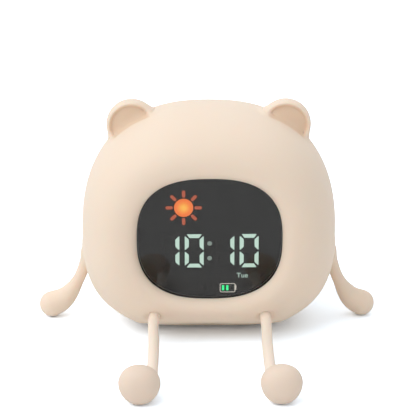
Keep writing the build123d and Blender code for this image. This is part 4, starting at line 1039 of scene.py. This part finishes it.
# ---- lens
def lens_tree(material):
    """A domed lens with a closed edge, grown from the rule of its outline."""
    names = ("Half Width", "Half Height", "Height", "Squareness", "Dome Radius", "Edge", "Back")
    tree, given, output = grown_tree(
        "domed_lens", [("Around", "Int")] + [(name, "Float") for name in names])
    calc = partial(math_node, tree)
    net = add_node(tree, "GeometryNodeMeshGrid", {"Size X": 1.0, "Size Y": 1.0,
                                                  "Vertices X": LENS_RINGS,
                                                  "Vertices Y": given["Around"]})
    place = split(tree, add_node(tree, "GeometryNodeInputPosition").outputs[0])
    whole = 2 + LENS_WALL_RUN
    run = calc("MULTIPLY", calc("ADD", place["X"], 0.5), whole)
    turn = calc("MULTIPLY", calc("ADD", place["Y"], 0.5), 2 * math.pi)
    share = calc("MINIMUM", calc("MINIMUM", run, calc("SUBTRACT", whole, run)), 1.0)
    share = calc("MAXIMUM", share, 0.0)
    into_wall = calc("DIVIDE", calc("SUBTRACT", run, 1.0), LENS_WALL_RUN)
    into_wall = calc("MINIMUM", calc("MAXIMUM", into_wall, 0.0), 1.0)
    across, up = calc("COSINE", turn), calc("SINE", turn)
    powers = [calc("POWER", calc("DIVIDE", calc("ABSOLUTE", part), given[size]),
                   given["Squareness"])
              for part, size in ((across, "Half Width"), (up, "Half Height"))]
    reach = calc("POWER", calc("ADD", *powers), calc("DIVIDE", -1.0, given["Squareness"]))
    radial = calc("MULTIPLY", reach, share)
    square = calc("MULTIPLY", given["Dome Radius"], given["Dome Radius"])
    bulge, rim = (calc("SQRT", calc("SUBTRACT", square, calc("MULTIPLY", part, part)))
                  for part in (radial, given["Half Width"]))
    front = calc("ADD", given["Edge"], calc("SUBTRACT", bulge, rim))
    wall = calc("MULTIPLY", calc("SUBTRACT", given["Back"], front), into_wall)
    spot = joined(tree, X=calc("MULTIPLY", radial, across),
                  Y=calc("MULTIPLY", calc("ADD", front, wall), -1.0),
                  Z=calc("ADD", calc("MULTIPLY", radial, up), given["Height"]))
    bent = add_node(tree, "GeometryNodeSetPosition",
                    {"Geometry": net.outputs["Mesh"], "Position": spot})
    closed = add_node(tree, "GeometryNodeMergeByDistance",
                      {"Geometry": bent.outputs[0], "Distance": 0.002 * MM})
    end_tree(tree, output, closed.outputs[0], material)
    return tree


class CLOCK_OT_lens(bpy.types.Operator):
    """Grows the domed lens from the rule of its outline"""
    bl_idname = "clock.lens"
    bl_label = "Smoked lens"

    def execute(self, context):
        body, lens = context.scene.clock_body, context.scene.clock_lens
        material = bpy.data.materials["smoked_lens"]
        piece = grown("display_lens_moulding", lens_tree(material), {
            "Around": lens.around + 1, "Half Width": body.window_half_width + lens.overlap,
            "Half Height": body.window_half_height + lens.overlap, "Height": body.window_height,
            "Squareness": body.window_squareness, "Dome Radius": lens.dome_radius,
            "Edge": lens.edge, "Back": lens.back}, material)
        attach(piece, "housing")
        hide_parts("display_lens")
        return {"FINISHED"}


class CLOCK_OT_lens_border(bpy.types.Operator):
    """Prints the black border on the back of the lens, under the lip"""
    bl_idname = "clock.lens_border"
    bl_label = "Lens border"

    def execute(self, context):
        body, lens = context.scene.clock_body, context.scene.clock_lens
        turn = full_turn(BORDER_AROUND)
        across, up = np.cos(turn), np.sin(turn)
        inside, outside = lens.border_inside, -lens.border_outside
        rings = []
        for inset, deep in ((inside, 0.06), (outside, 0.06), (outside, 0.14), (inside, 0.14)):
            radius = super_share(across, up, body.window_half_width - inset,
                                 body.window_half_height - inset, body.window_squareness, -1)
            rings.append(np.stack((radius * across, np.full(len(turn), -lens.back + deep * MM),
                                   body.window_height + radius * up), axis=1))
        ink = grained("border_print", (0.008, 0.008, 0.008), 0.6, scale=2200.0)
        piece = make_object("lens_border", np.vstack(rings), grid_faces(4, len(turn), True), ink,
                            smooth=False)
        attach(piece, "housing")
        return {"FINISHED"}


# ---- rear panel
RIM_INPUTS = [(label, "Float") for label in
              ("Pitch", "Field Radius", "Rim Radius", "Rim Thickness", "Face", "Height")]


def rim_rings(tree, points, given):
    """Round rims on points of the XY plane, turned to stand on the panel's face."""
    ring, edge = (add_node(tree, "GeometryNodeCurvePrimitiveCircle",
                           {"Resolution": count, "Radius": given[size]}).outputs[0]
                  for count, size in ((28, "Rim Radius"), (8, "Rim Thickness")))
    rim = add_node(tree, "GeometryNodeCurveToMesh", {"Curve": ring, "Profile Curve": edge})
    placed = add_node(tree, "GeometryNodeInstanceOnPoints",
                      {"Points": points, "Instance": rim.outputs[0]})
    spot = joined(tree, Y=given["Face"], Z=given["Height"])
    return add_node(tree, "GeometryNodeTransform",
                    {"Geometry": placed.outputs[0], "Translation": spot,
                     "Rotation": (math.pi / 2, 0.0, 0.0)}).outputs[0]


def grille_tree(material):
    """Rims on staggered rows of points inside a circle."""
    tree, given, output = grown_tree("grille_rims", RIM_INPUTS)
    calc = partial(math_node, tree)
    columns, rows = 8, 6
    row_pitch = calc("MULTIPLY", given["Pitch"], ROW_SHARE)
    net = add_node(tree, "GeometryNodeMeshGrid", {
        "Size X": calc("MULTIPLY", given["Pitch"], float(columns)),
        "Size Y": calc("MULTIPLY", row_pitch, float(rows)),
        "Vertices X": columns + 1, "Vertices Y": rows + 1})
    position = add_node(tree, "GeometryNodeInputPosition").outputs[0]
    row = calc("ROUND", calc("DIVIDE", calc("ABSOLUTE", split(tree, position)["Y"]), row_pitch))
    shift = calc("MULTIPLY", calc("MODULO", row, 2.0), calc("MULTIPLY", given["Pitch"], 0.5))
    staggered = add_node(tree, "GeometryNodeSetPosition",
                         {"Geometry": net.outputs["Mesh"], "Offset": joined(tree, X=shift)})
    spot = split(tree, add_node(tree, "GeometryNodeInputPosition").outputs[0])
    squares = [calc("MULTIPLY", spot[axis], spot[axis]) for axis in "XY"]
    outside = calc("GREATER_THAN", calc("SQRT", calc("ADD", *squares)),
                   calc("ADD", given["Field Radius"], 0.001 * MM))
    field = add_node(tree, "GeometryNodeDeleteGeometry",
                     {"Geometry": staggered.outputs[0], "Selection": outside})
    end_tree(tree, output, rim_rings(tree, field.outputs[0], given), material)
    return tree


def button_rim_tree(material):
    """Rims in one row, a pitch apart."""
    tree, given, output = grown_tree("button_rims", RIM_INPUTS)
    first = math_node(tree, "MULTIPLY", given["Pitch"], (1 - len(BUTTONS)) / 2)
    row = add_node(tree, "GeometryNodeMeshLine",
                   {"Count": len(BUTTONS), "Start Location": joined(tree, X=first),
                    "Offset": joined(tree, X=given["Pitch"])}, mode="OFFSET")
    end_tree(tree, output, rim_rings(tree, row.outputs[0], given), material)
    return tree


def slot_rim(name, centre, width, height, power, face, thickness, material):
    """A raised rim along a slot's outline."""
    turn = full_turn(96)
    across, up = (np.sign(part) * np.abs(part) ** (2 / power) * size / 2
                  for part, size in ((np.cos(turn), width), (np.sin(turn), height)))
    heading = np.stack((np.roll(across, -1) - np.roll(across, 1),
                        np.roll(up, -1) - np.roll(up, 1)), axis=1)
    heading /= np.linalg.norm(heading, axis=1, keepdims=True)
    edge = full_turn(10)
    out = thickness * np.cos(edge)
    proud = face + thickness * np.sin(edge)
    points = np.stack((centre[0] + across[:, None] + heading[:, 1:] * out,
                       np.repeat(proud[None, :], len(turn), axis=0),
                       centre[1] + up[:, None] - heading[:, :1] * out), axis=2).reshape(-1, 3)
    return make_object(name, points, grid_faces(len(turn), len(edge), True), material)


def disc(radius, x=0.0, z=0.0, last=360, count=30):
    """Points of a disc or of an arc of it, in millimetres."""
    return [(x + radius * math.cos(turn), z + radius * math.sin(turn))
            for turn in np.radians(np.linspace(0, last, count, endpoint=last < 360))]


def bar(size, width, turn=0, away=0.0):
    """Corners of a bar that starts away from the middle and points along turn, in mm."""
    ahead = np.array((math.cos(math.radians(turn)), math.sin(math.radians(turn))))
    aside = np.array((-ahead[1], ahead[0])) * width / 2
    near, far = ahead * away, ahead * (away + size)
    return [tuple(near - aside), tuple(far - aside), tuple(far + aside), tuple(near + aside)]


def cross(reach, half):
    """Corners of an upright cross, in millimetres."""
    return [(-half, -reach), (half, -reach), (half, -half), (reach, -half), (reach, half),
            (half, half), (half, reach), (-half, reach), (-half, half), (-reach, half),
            (-reach, -half), (-half, -half)]


def button_marks():
    """Outlines of the mark on each button: lamp, bell, clock face, minus and plus."""
    bell = [(-1.4, -1.0), (1.4, -1.0), (1.4, -0.78), (1.0, -0.3)]
    bell += disc(0.95, z=0.4, last=180, count=17) + [(-1.0, -0.3), (-1.4, -0.78)]
    ticks = [bar(0.42, 0.3, turn, 1.45) for turn in range(0, 360, 30)]
    return {
        "light": [disc(0.95)] + [bar(0.65, 0.28, turn, 1.3) for turn in range(0, 360, 45)],
        "alarm": [bell, disc(0.33, z=-1.42), disc(0.28, z=1.5)],
        "set": ticks + [bar(1.25, 0.3, 90, -0.15), bar(0.95, 0.3, 210, -0.15)],
        "minus": [bar(2.8, 0.5, 0, -1.4)],
        "plus": [cross(1.4, 0.25)],
    }


def mark_mesh(name, shapes, centre, low, high, material):
    """Flat raised shapes on a button, drawn as seen from behind."""
    points, faces = [], []
    for shape in shapes:
        start, count = len(points), len(shape)
        for y in (low, high):
            points += [(centre[0] - x * MM, y, centre[1] + z * MM) for x, z in shape]
        faces += [tuple(range(start, start + count)),
                  tuple(range(start + 2 * count - 1, start + count - 1, -1))]
        faces += [(start + i, start + count + i, start + count + (i + 1) % count,
                   start + (i + 1) % count) for i in range(count)]
    return make_object(name, points, faces, material, smooth=False)


class CLOCK_OT_rear_panel(bpy.types.Operator):
    """Grows the rims round grille holes, buttons and port, and raises the buttons' marks"""
    bl_idname = "clock.rear_panel"
    bl_label = "Rear panel"

    def execute(self, context):
        panel, middle = context.scene.clock_panel, context.scene.clock_body.window_height
        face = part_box("rear_cover")[1].y
        material = bpy.data.materials["cover_plastic"]
        values = {"Pitch": panel.grille_pitch, "Field Radius": panel.grille_radius,
                  "Rim Radius": panel.grille_rim, "Rim Thickness": 0.7 * panel.rim_thickness,
                  "Face": face, "Height": middle - panel.grille_drop}
        rims = [grown("grille_rims", grille_tree(material), values, material)]
        values.update({"Pitch": panel.button_pitch, "Rim Radius": panel.button_rim,
                       "Rim Thickness": panel.rim_thickness,
                       "Height": middle + panel.button_rise})
        rims.append(grown("button_rims", button_rim_tree(material), values, material))
        low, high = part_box("power_slider")
        slots = {
            "port_rim": ((0.0, middle - panel.port_drop), panel.port_width, panel.port_height,
                         PORT_POWER),
            "slider_rim": (((low.x + high.x) / 2 + panel.slider_aside, (low.z + high.z) / 2),
                           panel.slider_width, panel.slider_height, SLIDER_POWER)}
        for name, slot in slots.items():
            rims.append(slot_rim(name, *slot, face, panel.rim_thickness, material))
        for piece in rims:
            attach(piece, "housing")
        ink = grained("mark_paint", tuple(context.scene.clock_colours.mark), 0.5, scale=1800.0)
        for name, shapes in button_marks().items():
            low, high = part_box("button_" + name)
            centre = ((low.x + high.x) / 2, (low.z + high.z) / 2)
            piece = mark_mesh("mark_" + name, shapes, centre, high.y - 0.05 * MM,
                              high.y + panel.mark_height, ink)
            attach(piece, "button_" + name)
        return {"FINISHED"}


# ---- display
def charge_shape():
    """Mask of the lit cores of the first two charge bars; the third is out."""
    low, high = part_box("battery_bar_guides")
    first = low.x + 0.65 * MM

    def shape(tree, place):
        calc = partial(math_node, tree)
        spot = split(tree, place)
        along = calc("SUBTRACT", spot["X"], first - CHARGE_PITCH / 2)
        along = calc("FLOORED_MODULO", along, CHARGE_PITCH)
        aside = calc("ABSOLUTE", calc("SUBTRACT", along, CHARGE_PITCH / 2))
        rise = calc("ABSOLUTE", calc("SUBTRACT", spot["Z"], (low.z + high.z) / 2))
        core = calc("MULTIPLY", calc("LESS_THAN", aside, 0.52 * MM),
                    calc("LESS_THAN", rise, (high.z - low.z) / 2 - 0.1 * MM))
        return calc("MULTIPLY", core, calc("LESS_THAN", spot["X"], first + 1.5 * CHARGE_PITCH))
    return shape


def outline_shape():
    """Mask of the thin lit line of the battery symbol and its nub."""
    low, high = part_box("battery_outline_guide")
    width, height, corner = high.x - low.x - 0.45 * MM, high.z - low.z, 0.6 * MM
    middle = (low.x + width / 2, (low.y + high.y) / 2, (low.z + high.z) / 2)
    reach = (width / 2 - 0.22 * MM - corner, 1.0, height / 2 - 0.22 * MM - corner)

    def shape(tree, place):
        calc, vector = partial(math_node, tree), partial(vector_node, tree)
        away = vector("ABSOLUTE", vector("SUBTRACT", place, middle))
        past = vector("MAXIMUM", vector("SUBTRACT", away, reach), (0.0, 0.0, 0.0))
        line = calc("ABSOLUTE", calc("SUBTRACT", vector("LENGTH", past), corner))
        nub = calc("GREATER_THAN", split(tree, place)["X"], low.x + width - 0.1 * MM)
        return calc("MAXIMUM", calc("LESS_THAN", line, 0.16 * MM), nub)
    return shape


def weekday_mesh(words, guide):
    """Thin raised letters, centred in front of their guide."""
    low, high = guide
    text = bpy.data.curves.new("weekday", "FONT")
    text.body = words
    text.align_x, text.align_y = "CENTER", "CENTER"
    text.size = 3.3 * MM
    text.extrude = 0.03 * MM
    text.offset = 0.02 * MM
    maker = linked("weekday_maker", text)
    mesh = evaluated_mesh(maker)
    bpy.data.objects.remove(maker)
    corners = np.array([vertex.co for vertex in mesh.vertices])
    centre = Vector((corners.min(axis=0) + corners.max(axis=0)) / 2)
    for vertex in mesh.vertices:
        x, z, deep = vertex.co - centre
        vertex.co = ((low.x + high.x) / 2 + x, low.y - 0.04 * MM - deep,
                     (low.z + high.z) / 2 + z)
    outward_faces(mesh)
    return mesh


class CLOCK_OT_display(bpy.types.Operator):
    """Lights the digits, the sun, the battery symbol and the weekday"""
    bl_idname = "clock.display"
    bl_label = "Display"

    def execute(self, context):
        colours = context.scene.clock_colours
        low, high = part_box("sun_disc_guide")
        middle = (low + high) / 2
        middle.y = low.y
        paint("sun_disc_guide", lit_finish("sun_light", colours.sun, 2.4, colours.sun_core,
                                           middle, (high.x - low.x) / 2))
        for node, name, glow, strength, shape in (
                ("digit_guides", "digit_light", colours.digit, 2.4, None),
                ("colon_guides", "colon_light", colours.colon, 1.2, None),
                ("sun_ray_guides", "ray_light", colours.ray, 2.4, None),
                ("battery_outline_guide", "outline_light", colours.icon, 2.1, outline_shape()),
                ("battery_bar_guides", "charge_light", colours.charge, 2.6, charge_shape())):
            paint(node, lit_finish(name, glow, strength, shape=shape))
        mesh = weekday_mesh(colours.weekday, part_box("weekday_guide"))
        finish_mesh(mesh, lit_finish("weekday_light", colours.digit, 2.0), smooth=False)
        piece = linked("weekday_lettering", mesh)
        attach(piece, "housing")
        return {"FINISHED"}


# ---- stage
def seen_white(tree, lit, seen):
    """lit for the light that falls on things, seen where the backdrop itself is looked at."""
    path = tree.nodes.new("ShaderNodeLightPath").outputs
    looked = math_node(tree, "MAXIMUM", path["Is Camera Ray"], path["Is Glossy Ray"])
    looked = math_node(tree, "MAXIMUM", looked, path["Is Transmission Ray"])
    return spread(tree, looked, lit, seen)


def floor_finish(stage):
    """Pale matt floor that keeps shadows and reads white elsewhere."""
    material, tree, shader, place = new_material("pale_floor")
    pale = toned(tree, noise(tree, place, 3.0), (0.90, 0.90, 0.90, 1.0), (0.91, 0.91, 0.91, 1.0))
    feed(tree, shader, {"Base Color": pale, "Roughness": 1.0, "Specular IOR Level": 0.0})
    seen = add_node(tree, "ShaderNodeBsdfDiffuse", {"Color": (*stage.floor_seen, 1.0)})
    looked = tree.nodes.new("ShaderNodeLightPath").outputs["Is Camera Ray"]
    either = add_node(tree, "ShaderNodeMixShader",
                      {0: looked, 1: shader.outputs[0], 2: seen.outputs[0]})
    feed(tree, tree.nodes["Material Output"], {"Surface": either.outputs[0]})
    return material


def aimed(piece, heading):
    piece.rotation_euler = heading.to_track_quat("-Z", "Y").to_euler()


def studio_camera(stage):
    lens = bpy.data.cameras.new("camera")
    lens.lens = stage.focal
    lens.sensor_width = 36.0
    lens.shift_x, lens.shift_y = stage.shift_x, stage.shift_y
    lens.clip_start, lens.clip_end = 0.05, 50.0
    camera = linked("camera", lens)
    level = math.cos(stage.elevation)
    back = Vector((level * math.sin(stage.azimuth), -level * math.cos(stage.azimuth),
                   math.sin(stage.elevation)))
    camera.location = Vector((0, 0, stage.look_height)) + back * stage.distance
    aimed(camera, -back)
    return camera


class CLOCK_OT_stage(bpy.types.Operator):
    """Makes the pale floor, the soft studio light and the camera"""
    bl_idname = "clock.stage"
    bl_label = "Stage"

    def execute(self, context):
        stage = context.scene.clock_stage
        world = bpy.data.worlds.new("studio")
        world.use_nodes = True
        context.scene.world = world
        tree = world.node_tree
        feed(tree, tree.nodes["Background"], {"Color": (1.0, 1.0, 1.0, 1.0),
                                              "Strength": seen_white(tree, stage.sky, 1.0)})
        if stage.show_floor:
            corners = [(x * FLOOR_HALF, y * FLOOR_HALF, 0)
                       for x, y in ((-1, -1), (1, -1), (1, 1), (-1, 1))]
            floor = make_object("floor", corners, [(0, 1, 2, 3)], floor_finish(stage),
                                smooth=False)
        for name, heading in LAMPS.items():
            lamp = bpy.data.lights.new(name, "SUN")
            lamp.energy = getattr(stage, name)
            lamp.angle = stage.softness
            aimed(linked(name, lamp), Vector(heading))
        context.scene.camera = studio_camera(stage)
        return {"FINISHED"}


# ---- add-on
class CLOCK_PT_panel(bpy.types.Panel):
    """Lists the pieces of the clock"""
    bl_idname = "CLOCK_PT_panel"
    bl_label = "Bear Clock"
    bl_space_type = "VIEW_3D"
    bl_region_type = "UI"
    bl_category = "Clock"

    def draw(self, context):
        for operator in OPERATORS:
            self.layout.operator(operator.bl_idname)


GROUPS = {"clock_body": ClockBody, "clock_ears": ClockEars, "clock_limbs": ClockLimbs,
          "clock_lens": ClockLens, "clock_panel": ClockPanel, "clock_colours": ClockColours,
          "clock_stage": ClockStage}
OPERATORS = (CLOCK_OT_finishes, CLOCK_OT_skin, CLOCK_OT_arms, CLOCK_OT_legs, CLOCK_OT_lens,
             CLOCK_OT_lens_border, CLOCK_OT_display, CLOCK_OT_rear_panel, CLOCK_OT_stage)


def register():
    for kind in (*GROUPS.values(), *OPERATORS, CLOCK_PT_panel):
        bpy.utils.register_class(kind)
    for name, group in GROUPS.items():
        setattr(bpy.types.Scene, name, PointerProperty(type=group))


def unregister():
    for name in GROUPS:
        delattr(bpy.types.Scene, name)
    for kind in reversed((*GROUPS.values(), *OPERATORS, CLOCK_PT_panel)):
        bpy.utils.unregister_class(kind)


def main():
    register()
    bpy.context.scene.view_settings.view_transform = "Standard"
    bpy.ops.clock.finishes()
    bpy.ops.clock.skin()
    bpy.ops.clock.arms()
    bpy.ops.clock.legs()
    bpy.ops.clock.lens()
    bpy.ops.clock.lens_border()
    bpy.ops.clock.display()
    bpy.ops.clock.rear_panel()
    bpy.ops.clock.stage()


if __name__ == "__main__":
    main()
